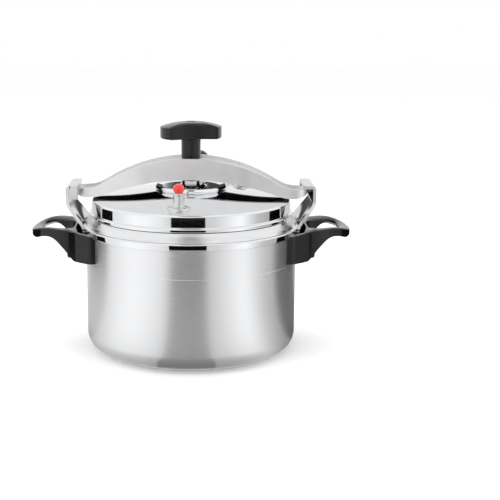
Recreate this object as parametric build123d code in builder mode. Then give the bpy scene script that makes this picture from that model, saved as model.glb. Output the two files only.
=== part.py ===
"""Stirrup-clamp pressure canner: pot, lid with its valves, arched clamp bridge, clamp screw
and knob, two hooks and two loop handles.  Millimetres, +Z up, origin at the centre of the
base, +X towards the right-hand handle, -Y towards the front."""
import os
from math import cos, radians, sin

from build123d import *

os.makedirs("parts", exist_ok=True)

# ---------------------------------------------------------------- driving dimensions
POT_R = 120.0            # outer radius of the pot wall
WALL = 3.0               # pot wall
BASE_CORNER = 20.0       # outer radius of the base corner
WALL_TOP = 135.6         # where the straight wall meets the shoulder bead
BEAD_R = 123.0           # widest point of the polished bead
BEAD_TOP = 144.4
NECK_R = 110.3           # outer radius of the neck inside the lid skirt
MOUTH_Z = 163.0          # height of the pot mouth

LID_SKIRT_R = 113.0      # outer radius of the lid skirt
LID_BORE_R = 110.8       # inner radius of the lid skirt
LIP_R = 116.0            # rolled lip round the skirt's lower edge
LIP_Z = 154.6
SKIRT_TOP = 172.4        # where the skirt turns into the cone
DISC_R = 41.5            # pressure disc on the lid centre
LID_TOP = 183.0          # flat centre of the lid
LID_T = 2.5
CONE_DROP = (LID_TOP - SKIRT_TOP) / (110.5 - DISC_R)    # fall of the cone per mm of radius
GASKET_T = 4.0

HOOK_T = 3.5             # steel plate of the hooks
HOOK_X = 140.0           # outer face of the hook's upright
HOOK_TOP = 190.5
HOOK_LIP_X = 126.5       # free edge of the inward lip
HOOK_FOOT_R = 126.8      # outer radius of the hook's curved foot
HOOK_HALF_LOW = 37.0     # half width at the foot
HOOK_HALF_TOP = 29.0     # half width at the lip
LUG_HALF = 34.0
FOOT_LOW_Z = 108.0       # bottom of hook foot and lug
FOOT_TOP_Z = 138.0       # where the hook starts to lean outwards

HANDLE_TIP = 182.0
HANDLE_FLARE = 56.0      # half width of the handle's base at the pot wall
HANDLE_HALF = 44.0       # half width of the loop
HANDLE_LOW_Z = 107.5
BOLT_Z = 112.5
BOLT_Y = 24.0
BOLT_HEAD_R = 4.8
BOLT_SEAT_X = 133.5      # flat the bolt heads rest on

BRIDGE_REST = -3.0       # degrees the closed bridge stands off the X axis
BRIDGE_HALF = 22.0       # half width at the middle
TONGUE_HALF = 18.0       # half width at the ends
TONGUE_X = 134.0
BRIDGE_WALL = 3.5
BRIDGE_TOP = 220.0       # crown of the side walls' top edges
BRIDGE_LOW = 196.0       # crown of their lower edges
DECK_TOP = 216.0         # recessed top plate between the side walls
TONGUE_TOP = 185.5
TONGUE_LOW = 175.0

SCREW_R = 6.0
NUT_BORE_R = 6.05
FOOT_R = 11.0
KNOB_TURN = 11.0         # degrees the knob's wings stand off the X axis
STEM_R = 11.0
STEM_Z = 218.0
HEAD_Z = 241.0           # underside of the knob's wings
HEAD_TOP = 260.0

VENT_XY = (8.0, 88.0)
INDICATOR_XY = (-13.0, -92.0)
SAFETY_XY = (60.0, 62.0)
VENT_HOLE_R = 5.0
INDICATOR_HOLE_R = 6.5
SAFETY_HOLE_R = 7.0
PIN_R = 2.95
PIN_BORE_R = 3.0

SIDES = {"right": 1, "left": -1}


def cone_z(radius):
    """Height of the lid's outer surface at a radius on the cone."""
    return LID_TOP - CONE_DROP * (radius - DISC_R)


def finish(piece, name):
    """Label a finished piece and write its STEP file."""
    piece.label = name
    export_step(piece, f"parts/{name}.step")


def turned(points):
    """Revolve a closed outline of (radius, height) points about the vertical axis."""
    with BuildSketch(Plane.XZ) as outline:
        with BuildLine():
            Polyline(*points, close=True)
        make_face()
    revolve(outline.sketch, axis=Axis.Z)


def disc(at, bottom, top, radius, mode=Mode.ADD):
    """A round plug between two heights, standing at an (x, y) place."""
    with BuildSketch(Plane.XY.offset(bottom)) as outline:
        with Locations(at):
            Circle(radius)
    extrude(outline.sketch, amount=top - bottom, mode=mode)


def hexagon(at, bottom, top, radius):
    """A hexagonal nut between two heights."""
    with BuildSketch(Plane.XY.offset(bottom)) as outline:
        with Locations(at):
            RegularPolygon(radius, 6)
    extrude(outline.sketch, amount=top - bottom)


def trim_under_cone():
    """Take away whatever lies below the lid's outer surface."""
    with BuildSketch(Plane.XZ) as outline:
        with BuildLine():
            Polyline((0, 120), (0, LID_TOP), (DISC_R, LID_TOP), (110.5, SKIRT_TOP), (110.5, 120),
                     close=True)
        make_face()
    revolve(outline.sketch, axis=Axis.Z, mode=Mode.SUBTRACT)


def trim_over_cone(drop):
    """Take away whatever lies above the lid's inner surface."""
    with BuildSketch(Plane.XZ) as outline:
        with BuildLine():
            Polyline((0, 230), (0, LID_TOP - drop), (DISC_R, LID_TOP - drop),
                     (110.5, SKIRT_TOP - drop), (110.5, 230), close=True)
        make_face()
    revolve(outline.sketch, axis=Axis.Z, mode=Mode.SUBTRACT)


# ---------------------------------------------------------------- pot
NECK_Z = 154.2
with BuildPart() as pot_body:
    with BuildSketch(Plane.XZ):
        with BuildLine():
            Line((0, 0), (POT_R - BASE_CORNER, 0))
            RadiusArc((POT_R - BASE_CORNER, 0), (POT_R, BASE_CORNER), -BASE_CORNER)
            Line((POT_R, BASE_CORNER), (POT_R, WALL_TOP))
            ThreePointArc((POT_R, WALL_TOP), (BEAD_R, (WALL_TOP + BEAD_TOP) / 2), (120.5, BEAD_TOP))
            ThreePointArc((120.5, BEAD_TOP), (115.9, 148.8), (113.5, 153.6))
            Polyline((113.5, 153.6), (NECK_R, NECK_Z), (NECK_R, MOUTH_Z), (NECK_R - WALL, MOUTH_Z),
                     (NECK_R - WALL, NECK_Z + 1.0))
            ThreePointArc((NECK_R - WALL, NECK_Z + 1.0), (112.4, 147.8), (POT_R - WALL, 141.5))
            Line((POT_R - WALL, 141.5), (POT_R - WALL, BASE_CORNER))
            RadiusArc((POT_R - WALL, BASE_CORNER), (POT_R - BASE_CORNER, WALL), BASE_CORNER - WALL)
            Polyline((POT_R - BASE_CORNER, WALL), (0, WALL), (0, 0))
        make_face()
    revolve(axis=Axis.Z)
finish(pot_body.part, "pot_body")

# ---------------------------------------------------------------- lid
GASKET_TOP = MOUTH_Z + GASKET_T
RIB_R = 100.5            # rim that holds the gasket from inside
LIP_T = 4.0
DISC_RIVETS = PolarLocations(24.0, 3, start_angle=30)
with BuildPart() as lid_shell:
    with BuildSketch(Plane.XZ):
        with BuildLine():
            Line((LID_BORE_R, LIP_Z), (LIP_R - 2.0, LIP_Z))
            ThreePointArc((LIP_R - 2.0, LIP_Z), (LIP_R, LIP_Z + LIP_T / 2), (LIP_R - 2.0, LIP_Z + LIP_T))
            Polyline((LIP_R - 2.0, LIP_Z + LIP_T), (LID_SKIRT_R, LIP_Z + LIP_T + 0.6),
                     (LID_SKIRT_R, SKIRT_TOP - 2.4))
            ThreePointArc((LID_SKIRT_R, SKIRT_TOP - 2.4), (LID_SKIRT_R - 0.8, SKIRT_TOP - 0.75),
                          (110.5, SKIRT_TOP))
            Polyline((110.5, SKIRT_TOP), (DISC_R, LID_TOP), (0, LID_TOP), (0, LID_TOP - LID_T),
                     (DISC_R, LID_TOP - LID_T), (RIB_R, cone_z(RIB_R) - LID_T), (RIB_R, MOUTH_Z + 0.5),
                     (RIB_R + 2.5, MOUTH_Z + 0.5), (RIB_R + 2.5, GASKET_TOP),
                     (LID_BORE_R, GASKET_TOP), (LID_BORE_R, LIP_Z))
        make_face()
    revolve(axis=Axis.Z)
    for place, hole_r in ((VENT_XY, VENT_HOLE_R), (INDICATOR_XY, INDICATOR_HOLE_R),
                          (SAFETY_XY, SAFETY_HOLE_R)):
        disc(place, 160, 190, hole_r, Mode.SUBTRACT)
    with BuildSketch(Plane.XY.offset(170)):
        with DISC_RIVETS:
            Circle(3.0)
    extrude(amount=20, mode=Mode.SUBTRACT)
finish(lid_shell.part, "lid_shell")

with BuildPart() as lid_gasket:
    turned([(103.2, MOUTH_Z + 0.8), (104.0, MOUTH_Z), (110.4, MOUTH_Z), (110.4, GASKET_TOP),
            (103.2, GASKET_TOP)])
finish(lid_gasket.part, "lid_gasket")

DISC_TOP = 188.5
DISC_WELL = 187.2        # floor of the socket the clamp foot rests in
with BuildPart() as pressure_disc:
    with BuildSketch(Plane.XZ):
        with BuildLine():
            Line((0, LID_TOP), (DISC_R - 1.5, LID_TOP))
            ThreePointArc((DISC_R - 1.5, LID_TOP), (DISC_R, 185.8), (DISC_R - 2.0, DISC_TOP))
            Polyline((DISC_R - 2.0, DISC_TOP), (DISC_R - 5.0, 187.4), (16.0, 187.0), (15.2, 188.8),
                     (12.8, 188.8), (12.2, DISC_WELL), (0, DISC_WELL), (0, LID_TOP))
        make_face()
    revolve(axis=Axis.Z)
    with BuildSketch(Plane.XY.offset(LID_TOP)):
        with DISC_RIVETS:
            Circle(3.0)
    extrude(amount=2.5, mode=Mode.SUBTRACT)
finish(pressure_disc.part, "pressure_disc")

with BuildPart() as disc_rivets:
    with BuildSketch(Plane.XY.offset(LID_TOP - LID_T)):
        with DISC_RIVETS:
            Circle(3.0)
    extrude(amount=LID_T + 2.5)
    with BuildSketch(Plane.XY.offset(LID_TOP - LID_T)):
        with DISC_RIVETS:
            Circle(5.5)
    extrude(amount=-2.0)
    chamfer(disc_rivets.faces().group_by(Axis.Z)[0].edges(), 0.8)
finish(disc_rivets.part, "disc_rivets")

# ---------------------------------------------------------------- side hooks, lugs and handles


FOOT_EDGE = (HOOK_FOOT_R ** 2 - HOOK_HALF_LOW ** 2) ** 0.5      # foot's outer face at its edge
# height, outer face at the middle, outer face at the edge, half width, thickness along X
HOOK_STATIONS = [
    (FOOT_TOP_Z, HOOK_FOOT_R, FOOT_EDGE, HOOK_HALF_LOW, HOOK_T),
    (144.5, 127.4, 121.9, HOOK_HALF_LOW, 3.7),
    (150.5, 129.6, 125.2, 36.5, 4.4),
    (157.0, 133.0, 130.2, 35.2, 4.6),
    (163.5, 136.6, 135.2, 33.0, 4.3),
    (169.0, 139.2, 138.8, 30.5, 3.8),
    (174.0, HOOK_X, HOOK_X - 0.2, HOOK_HALF_TOP, HOOK_T),
]


def plate_section(height, middle, edge, half, thick):
    """Horizontal slice through the hook plate: a strip between two arcs."""
    with BuildSketch(Plane.XY.offset(height)) as strip:
        with BuildLine():
            ThreePointArc((edge, -half), (middle, 0), (edge, half))
            Line((edge, half), (edge - thick, half))
            ThreePointArc((edge - thick, half), (middle - thick, 0), (edge - thick, -half))
            Line((edge - thick, -half), (edge, -half))
        make_face()
    return strip.sketch


def bolt_holes():
    """Clearance for the two handle bolts, through whatever plate is being made."""
    with BuildSketch(Plane.YZ.offset(100)) as holes:
        with Locations((-BOLT_Y, BOLT_Z), (BOLT_Y, BOLT_Z)):
            Circle(3.0)
    extrude(holes.sketch, amount=40, mode=Mode.SUBTRACT)


def rivet_holes():
    """Holes for the two rivets that hold hook and lug together."""
    with BuildSketch(Plane.YZ.offset(100)) as holes:
        with Locations(*RIVET_YZ):
            Circle(3.0)
    extrude(holes.sketch, amount=40, mode=Mode.SUBTRACT)


RIVET_YZ = [(-12.0, 126.0), (12.0, 126.0)]


def hook(side):
    """Bent steel plate whose lip holds down one end of the bridge.  The folded stop wall is
    at the back on the right-hand hook and at the front on the left-hand one."""
    with BuildPart() as plate:
        extrude(plate_section(FOOT_LOW_Z, *HOOK_STATIONS[0][1:]), amount=FOOT_TOP_Z - FOOT_LOW_Z)
        loft([plate_section(*station) for station in HOOK_STATIONS], ruled=True)
        top = HOOK_STATIONS[-1]
        extrude(plate_section(*top), amount=HOOK_TOP - top[0])
        with BuildSketch(Plane.XZ.offset(-HOOK_HALF_TOP)) as lip:
            with Locations(((HOOK_LIP_X + HOOK_X - HOOK_T) / 2, HOOK_TOP - HOOK_T / 2)):
                Rectangle(HOOK_X - HOOK_T - HOOK_LIP_X, HOOK_T)
        extrude(lip.sketch, amount=2 * HOOK_HALF_TOP)
        with BuildSketch(Plane.XZ.offset(-side * HOOK_HALF_TOP)) as wall:
            with BuildLine():
                Polyline((HOOK_X - HOOK_T, 175), (HOOK_X - HOOK_T, HOOK_TOP - HOOK_T),
                         (HOOK_LIP_X, HOOK_TOP - HOOK_T), (HOOK_LIP_X, 178), (129, 175), close=True)
            make_face()
        extrude(wall.sketch, amount=side * HOOK_T)
        fillet(plate.edges().filter_by(Axis.Y).group_by(Axis.Z)[-1].sort_by(Axis.X)[-1], 4.0)
        bolt_holes()
        rivet_holes()
        if side < 0:
            mirror(about=Plane.YZ, mode=Mode.REPLACE)
    return plate.part


def lug(side):
    """Curved aluminium pad, welded to the pot wall, that carries hook and handle."""
    with BuildPart() as pad:
        with BuildSketch(Plane.XY.offset(FOOT_LOW_Z)) as outline:
            with Locations((120, 0)):
                Rectangle(30, 2 * LUG_HALF)
            Circle(HOOK_FOOT_R - HOOK_T, mode=Mode.INTERSECT)
            Circle(POT_R, mode=Mode.SUBTRACT)
        extrude(outline.sketch, amount=24)
        bolt_holes()
        rivet_holes()
        if side < 0:
            mirror(about=Plane.YZ, mode=Mode.REPLACE)
    return pad.part


def handle(side):
    """Moulded loop handle: a base that flares along the wall and hides hook foot and lug,
    and a rounded grip with a finger hole."""
    with BuildPart() as loop:
        with BuildSketch(Plane.XZ.offset(-60)) as profile:
            with BuildLine():
                Polyline((100, 139.5), (100, HANDLE_LOW_Z), (129.5, HANDLE_LOW_Z), (132.6, 110.5),
                         (139.5, 119.4), (147, 128.0))
                ThreePointArc((147, 128.0), (152.2, 132.3), (158, 134.6))
                ThreePointArc((158, 134.6), (167, 134.2), (175, 131.6))
                ThreePointArc((175, 131.6), (HANDLE_TIP, 135.6), (177, 141.6))
                ThreePointArc((177, 141.6), (157, 145.6), (130, 142.2))
                Line((130, 142.2), (100, 139.5))
            make_face()
        extrude(profile.sketch, amount=120)
        with BuildSketch(Plane.XY.offset(100)) as plan:
            with BuildLine():
                Polyline((96, -HANDLE_FLARE), (96, HANDLE_FLARE), (113.5, HANDLE_FLARE),
                         (129, HANDLE_HALF))
                ThreePointArc((129, HANDLE_HALF), (163, 34.5), (HANDLE_TIP, 0))
                ThreePointArc((HANDLE_TIP, 0), (163, -34.5), (129, -HANDLE_HALF))
                Polyline((129, -HANDLE_HALF), (113.5, -HANDLE_FLARE), (96, -HANDLE_FLARE))
            make_face()
            with Locations((150.5, 0)):
                RectangleRounded(35, 48, 11, mode=Mode.SUBTRACT)
        extrude(plan.sketch, amount=60, mode=Mode.INTERSECT)
        with BuildSketch(Plane.XY.offset(100)) as wall:
            Circle(POT_R)
        extrude(wall.sketch, amount=60, mode=Mode.SUBTRACT)
        with BuildSketch(Plane.XY.offset(WALL_TOP - 0.6)) as bead:
            Circle(BEAD_R + 0.3)
        extrude(bead.sketch, amount=30, mode=Mode.SUBTRACT)
        with BuildSketch(Plane.XY.offset(FOOT_LOW_Z)) as pocket:
            with Locations((115, 0)):
                Rectangle(40, 2 * HOOK_HALF_LOW + 1)
            Circle(HOOK_FOOT_R, mode=Mode.INTERSECT)
        extrude(pocket.sketch, amount=60, mode=Mode.SUBTRACT)
        with BuildSketch(Plane.XY.offset(130)) as mouth:
            with Locations((115, 0)):
                Rectangle(40, 2 * HOOK_HALF_LOW + 6)
            Circle(HOOK_FOOT_R + 3.5, mode=Mode.INTERSECT)
        extrude(mouth.sketch, amount=60, mode=Mode.SUBTRACT)
        bolt_holes()
        with BuildSketch(Plane.YZ.offset(BOLT_SEAT_X)) as seats:
            with Locations((-BOLT_Y, BOLT_Z), (BOLT_Y, BOLT_Z)):
                Circle(BOLT_HEAD_R + 0.3)
        extrude(seats.sketch, amount=12, mode=Mode.SUBTRACT)
        if side < 0:
            mirror(about=Plane.YZ, mode=Mode.REPLACE)
    return loop.part


def handle_bolts(side):
    """Two bolts through handle, hook and lug, with rounded heads on the outside."""
    with BuildPart() as bolts:
        with BuildSketch(Plane.YZ.offset(110)) as shanks:
            with Locations((-BOLT_Y, BOLT_Z), (BOLT_Y, BOLT_Z)):
                Circle(3.0)
        extrude(shanks.sketch, amount=BOLT_SEAT_X - 110)
        with BuildSketch(Plane.XY.offset(100)) as wall:
            Circle(POT_R)
        extrude(wall.sketch, amount=40, mode=Mode.SUBTRACT)
        with BuildSketch(Plane.YZ.offset(BOLT_SEAT_X)) as heads:
            with Locations((-BOLT_Y, BOLT_Z), (BOLT_Y, BOLT_Z)):
                Circle(BOLT_HEAD_R)
        extrude(heads.sketch, amount=6.5)
        fillet(bolts.edges().group_by(Axis.X)[-1], 1.8)
        if side < 0:
            mirror(about=Plane.YZ, mode=Mode.REPLACE)
    return bolts.part


def hook_rivets(side):
    """Two rivets that hold the hook's foot to the lug, above the bolts."""
    with BuildPart() as rivets:
        with BuildSketch(Plane.YZ.offset(110)) as shanks:
            with Locations(*RIVET_YZ):
                Circle(3.0)
        extrude(shanks.sketch, amount=30)
        with BuildSketch(Plane.XY.offset(100)) as between:
            Circle(HOOK_FOOT_R)
            Circle(POT_R, mode=Mode.SUBTRACT)
        extrude(between.sketch, amount=40, mode=Mode.INTERSECT)
        if side < 0:
            mirror(about=Plane.YZ, mode=Mode.REPLACE)
    return rivets.part


for side_name, side in SIDES.items():
    finish(hook(side), f"hook_{side_name}")
    finish(lug(side), f"mount_lug_{side_name}")
    finish(handle(side), f"handle_{side_name}")
    finish(handle_bolts(side), f"handle_bolts_{side_name}")
    finish(hook_rivets(side), f"hook_rivets_{side_name}")

# ---------------------------------------------------------------- vent pipe and its weight
VENT_R = (VENT_XY[0] ** 2 + VENT_XY[1] ** 2) ** 0.5
VENT_Z = cone_z(VENT_R)
PIPE_R = 3.5
PIPE_TOP = 198.0
with BuildPart() as vent_pipe:
    disc(VENT_XY, VENT_Z - 13, VENT_Z + 5.5, VENT_HOLE_R)
    disc(VENT_XY, VENT_Z + 5.5, PIPE_TOP, PIPE_R)
    chamfer(vent_pipe.faces().sort_by(Axis.Z)[-1].edges(), 1.0)
    disc(VENT_XY, VENT_Z - 20, PIPE_TOP + 1, 1.4, Mode.SUBTRACT)
finish(vent_pipe.part, "vent_pipe")

with BuildPart() as vent_washer:
    disc(VENT_XY, VENT_Z - 4, VENT_Z + 2.0, 9.5)
    disc(VENT_XY, VENT_Z - 5, VENT_Z + 5, VENT_HOLE_R, Mode.SUBTRACT)
    trim_under_cone()
finish(vent_washer.part, "vent_washer")

with BuildPart() as vent_nut:
    hexagon(VENT_XY, VENT_Z + 2.0, VENT_Z + 7.0, 9.0)
    disc(VENT_XY, VENT_Z + 1, VENT_Z + 5.5, VENT_HOLE_R, Mode.SUBTRACT)
    disc(VENT_XY, VENT_Z + 5.5, VENT_Z + 8, PIPE_R, Mode.SUBTRACT)
finish(vent_nut.part, "vent_nut")

with BuildPart() as vent_screen:
    disc(VENT_XY, VENT_Z - 13, VENT_Z - 1.0, 8.5)
    disc(VENT_XY, VENT_Z - 11.5, VENT_Z + 1, 7.2, Mode.SUBTRACT)
    with BuildSketch(Plane.XY.offset(VENT_Z - 14)):
        with Locations(VENT_XY):
            Circle(5.0)
            with PolarLocations(6.1, 6):
                Circle(0.9)
    extrude(amount=4, mode=Mode.SUBTRACT)
    trim_over_cone(LID_T)
finish(vent_screen.part, "vent_screen")

WEIGHT_Z = VENT_Z + 9.0
with BuildPart() as regulator_weight:
    disc(VENT_XY, WEIGHT_Z, WEIGHT_Z + 17, 10.5)
    chamfer(regulator_weight.edges().group_by(Axis.Z)[0], 1.0)
    disc(VENT_XY, WEIGHT_Z - 1, PIPE_TOP + 0.6, PIPE_R + 0.4, Mode.SUBTRACT)
    with BuildSketch(Plane.XZ.offset(-VENT_XY[1] - 15)):
        with Locations((VENT_XY[0], PIPE_TOP - 2.4)):
            Circle(1.0)
    extrude(amount=30, mode=Mode.SUBTRACT)
finish(regulator_weight.part, "regulator_weight")

CAP_TOP = 215.5
with BuildPart() as regulator_cap:
    disc(VENT_XY, WEIGHT_Z + 12, CAP_TOP, 13.0)
    fillet(regulator_cap.edges().group_by(Axis.Z)[-1], 8.0)
    disc(VENT_XY, WEIGHT_Z + 11, WEIGHT_Z + 17, 10.5, Mode.SUBTRACT)
finish(regulator_cap.part, "regulator_cap")

# ---------------------------------------------------------------- lock indicator valve
IND_Z = cone_z((INDICATOR_XY[0] ** 2 + INDICATOR_XY[1] ** 2) ** 0.5)
HOUSING_TOP = 193.4
HOUSING_LOW = IND_Z - 10.0
with BuildPart() as indicator_housing:
    disc(INDICATOR_XY, IND_Z - 3, IND_Z + 3.6, 12.3)
    disc(INDICATOR_XY, IND_Z + 3.6, HOUSING_TOP, 6.2)
    trim_under_cone()
    fillet(indicator_housing.edges().filter_by_position(Axis.Z, IND_Z + 3.5, IND_Z + 3.7)
           .sort_by(SortBy.RADIUS)[-1], 1.2)
    chamfer(indicator_housing.faces().sort_by(Axis.Z)[-1].edges(), 0.6)
    disc(INDICATOR_XY, HOUSING_LOW, IND_Z + 1.5, INDICATOR_HOLE_R)
    disc(INDICATOR_XY, HOUSING_LOW - 1, HOUSING_TOP + 1, PIN_BORE_R, Mode.SUBTRACT)
finish(indicator_housing.part, "indicator_housing")

with BuildPart() as indicator_nut:
    disc(INDICATOR_XY, HOUSING_LOW + 1.5, IND_Z - 1.0, 7.4)
    disc(INDICATOR_XY, HOUSING_LOW, IND_Z, INDICATOR_HOLE_R, Mode.SUBTRACT)
    trim_over_cone(LID_T)
finish(indicator_nut.part, "indicator_nut")

PIN_LOW = HOUSING_LOW - 10.0
HEAD_LOW = HOUSING_TOP + 0.4
with BuildPart() as indicator_pin:
    disc(INDICATOR_XY, PIN_LOW, HEAD_LOW + 4.0, PIN_R)
    disc(INDICATOR_XY, PIN_LOW - 1.0, PIN_LOW, 4.6)
finish(indicator_pin.part, "indicator_pin")

with BuildPart() as indicator_seal:
    disc(INDICATOR_XY, PIN_LOW, PIN_LOW + 2.0, 5.0)
    disc(INDICATOR_XY, PIN_LOW - 1, PIN_LOW + 3, PIN_R, Mode.SUBTRACT)
finish(indicator_seal.part, "indicator_seal")

with BuildPart() as indicator_head:
    disc(INDICATOR_XY, HEAD_LOW, HEAD_LOW + 9.0, 5.8)
    fillet(indicator_head.edges().group_by(Axis.Z)[-1], 5.2)
    chamfer(indicator_head.edges().group_by(Axis.Z)[0], 0.8)
    disc(INDICATOR_XY, HEAD_LOW - 1, HEAD_LOW + 4.0, PIN_R, Mode.SUBTRACT)
finish(indicator_head.part, "indicator_head")

# ---------------------------------------------------------------- safety valve
SAFE_Z = cone_z((SAFETY_XY[0] ** 2 + SAFETY_XY[1] ** 2) ** 0.5)
with BuildPart() as safety_valve_body:
    disc(SAFETY_XY, SAFE_Z - 3, SAFE_Z + 3.0, 12.0)
    disc(SAFETY_XY, SAFE_Z + 3.0, SAFE_Z + 8.0, 8.5)
    fillet(safety_valve_body.edges().group_by(Axis.Z)[-1], 2.0)
    trim_under_cone()
    disc(SAFETY_XY, SAFE_Z - 9, SAFE_Z + 1.5, SAFETY_HOLE_R)
    disc(SAFETY_XY, SAFE_Z - 10, SAFE_Z + 9, 4.5, Mode.SUBTRACT)
finish(safety_valve_body.part, "safety_valve_body")

with BuildPart() as safety_plug:
    disc(SAFETY_XY, SAFE_Z - 8, SAFE_Z + 8, 4.5)
    disc(SAFETY_XY, SAFE_Z + 8, SAFE_Z + 10.5, 6.0)
    fillet(safety_plug.edges().group_by(Axis.Z)[-1], 2.0)
finish(safety_plug.part, "safety_plug")

with BuildPart() as safety_valve_nut:
    hexagon(SAFETY_XY, SAFE_Z - 8, SAFE_Z - 1.0, 12.0)
    disc(SAFETY_XY, SAFE_Z - 9, SAFE_Z, SAFETY_HOLE_R, Mode.SUBTRACT)
    trim_over_cone(LID_T)
finish(safety_valve_nut.part, "safety_valve_nut")

# ---------------------------------------------------------------- clamp bridge
BRIDGE_PLANE = Plane.XZ.rotated((0, 0, BRIDGE_REST))
TOP_BEND = (98.0, 191.9)         # where the arch's crown curve ends
LOW_BEND = (98.0, 178.3)
PLAN = Plane.XY.rotated((0, 0, BRIDGE_REST))


def plan_outline(inset, end_x, corner):
    """Half-width outline of the bridge seen from above, pulled in by inset."""
    mid, end = BRIDGE_HALF - inset, TONGUE_HALF - inset
    with BuildSketch(PLAN.offset(160)) as plan:
        with BuildLine():
            Polyline((-end_x, -end), (-112, -end), (-55, -mid), (55, -mid), (112, -end), (end_x, -end),
                     (end_x, end), (112, end), (55, mid), (-55, mid), (-112, end), (-end_x, end),
                     close=True)
        make_face()
        fillet(plan.vertices().sort_by_distance((0, 0, 160))[-4:], corner)
    return plan.sketch


def deck_points(drop):
    """Crown of the recessed deck, from its middle out to the tongue, lowered by drop."""
    return [(16, DECK_TOP - drop), (50, 209.6 - drop), (85, 195.6 - drop), (101, 185.6 - drop),
            (114, 179.4 - drop), (119, TROUGH_Z - drop)]


def mirrored(points):
    """The same points on the left-hand side."""
    return [(-x, z) for x, z in points]


TROUGH_Z = 178.6                 # floor of the tongue's trough
END = TONGUE_X - 4.4             # where the trough's upturned end meets its top edge

with BuildPart() as bridge_beam:
    with BuildSketch(BRIDGE_PLANE.offset(-30)):
        with BuildLine():
            ThreePointArc((-TOP_BEND[0], TOP_BEND[1]), (0, BRIDGE_TOP), TOP_BEND)
            ThreePointArc(TOP_BEND, (107, 187.6), (118, TONGUE_TOP))
            Line((118, TONGUE_TOP), (TONGUE_X, TONGUE_TOP))
            ThreePointArc((TONGUE_X, TONGUE_TOP), (129.5, 178.6), (117, TONGUE_LOW))
            ThreePointArc((117, TONGUE_LOW), (107, 175.7), LOW_BEND)
            ThreePointArc(LOW_BEND, (0, BRIDGE_LOW), (-LOW_BEND[0], LOW_BEND[1]))
            ThreePointArc((-LOW_BEND[0], LOW_BEND[1]), (-107, 175.7), (-117, TONGUE_LOW))
            ThreePointArc((-117, TONGUE_LOW), (-129.5, 178.6), (-TONGUE_X, TONGUE_TOP))
            Line((-TONGUE_X, TONGUE_TOP), (-118, TONGUE_TOP))
            ThreePointArc((-118, TONGUE_TOP), (-107, 187.6), (-TOP_BEND[0], TOP_BEND[1]))
        make_face()
    extrude(amount=60)
    extrude(plan_outline(0, TONGUE_X, 13), amount=80, mode=Mode.INTERSECT)
bridge_solid = bridge_beam.part

with BuildPart() as trough:
    with BuildSketch(BRIDGE_PLANE.offset(-30)):
        with BuildLine():
            Spline(*deck_points(0))
            Line((119, TROUGH_Z), (123, TROUGH_Z))
            ThreePointArc((123, TROUGH_Z), (127.6, 181.4), (END, 186))
            Polyline((END, 186), (END, 240), (-END, 240), (-END, 186))
            ThreePointArc((-END, 186), (-127.6, 181.4), (-123, TROUGH_Z))
            Line((-123, TROUGH_Z), (-119, TROUGH_Z))
            Spline(*mirrored(deck_points(0))[::-1])
            Line((-16, DECK_TOP), (16, DECK_TOP))
        make_face()
    extrude(amount=60)
    extrude(plan_outline(BRIDGE_WALL, TONGUE_X - BRIDGE_WALL, 9.5), amount=80, mode=Mode.INTERSECT)

with BuildPart() as underside:
    with BuildSketch(BRIDGE_PLANE.offset(-30)):
        with BuildLine():
            Spline(*deck_points(BRIDGE_WALL))
            Polyline((119, TROUGH_Z - BRIDGE_WALL), (119, 150), (-119, 150),
                     (-119, TROUGH_Z - BRIDGE_WALL))
            Spline(*mirrored(deck_points(BRIDGE_WALL))[::-1])
            Line((-16, DECK_TOP - BRIDGE_WALL), (16, DECK_TOP - BRIDGE_WALL))
        make_face()
    extrude(amount=60)
    extrude(plan_outline(BRIDGE_WALL, TONGUE_X - BRIDGE_WALL, 9.5), amount=80, mode=Mode.INTERSECT)

NUT_NECK_R = 9.0
NUT_LOW = 205.5
with BuildPart() as bridge_beam:
    add(bridge_solid)
    add(trough.part, mode=Mode.SUBTRACT)
    add(underside.part, mode=Mode.SUBTRACT)
    disc((0, 0), 200, 230, NUT_NECK_R, Mode.SUBTRACT)
finish(bridge_beam.part, "bridge_beam")

with BuildPart() as bridge_nut:
    disc((0, 0), NUT_LOW, DECK_TOP - BRIDGE_WALL, 14.0)
    chamfer(bridge_nut.edges().group_by(Axis.Z)[0], 1.0)
    disc((0, 0), DECK_TOP - BRIDGE_WALL, DECK_TOP + 1, NUT_NECK_R)
    disc((0, 0), NUT_LOW - 1, DECK_TOP + 2, NUT_BORE_R, Mode.SUBTRACT)
finish(bridge_nut.part, "bridge_nut")

# ---------------------------------------------------------------- clamp screw, foot and knob
FOOT_LOW = DISC_WELL + 0.3
with BuildPart() as screw_foot:
    disc((0, 0), FOOT_LOW, 194.0, FOOT_R)
    chamfer(screw_foot.edges().group_by(Axis.Z)[0], 1.0)
    disc((0, 0), 192.4, 195, 9.0, Mode.SUBTRACT)
    disc((0, 0), 189.3, 195, 5.3, Mode.SUBTRACT)
finish(screw_foot.part, "screw_foot")

with BuildPart() as foot_clip:
    disc((0, 0), 192.4, 194.0, 9.0)
    disc((0, 0), 190, 195, 4.3, Mode.SUBTRACT)
finish(foot_clip.part, "foot_clip")

SOCKET_TOP = 238.0       # how far the screw runs up into the knob
with BuildPart() as clamp_screw:
    disc((0, 0), 189.6, 192.1, 5.0)
    disc((0, 0), 192.1, 196.0, 4.0)
    disc((0, 0), 196.0, SOCKET_TOP, SCREW_R)
    chamfer(clamp_screw.edges().group_by(Axis.Z)[-1], 0.8)
finish(clamp_screw.part, "clamp_screw")

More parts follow.
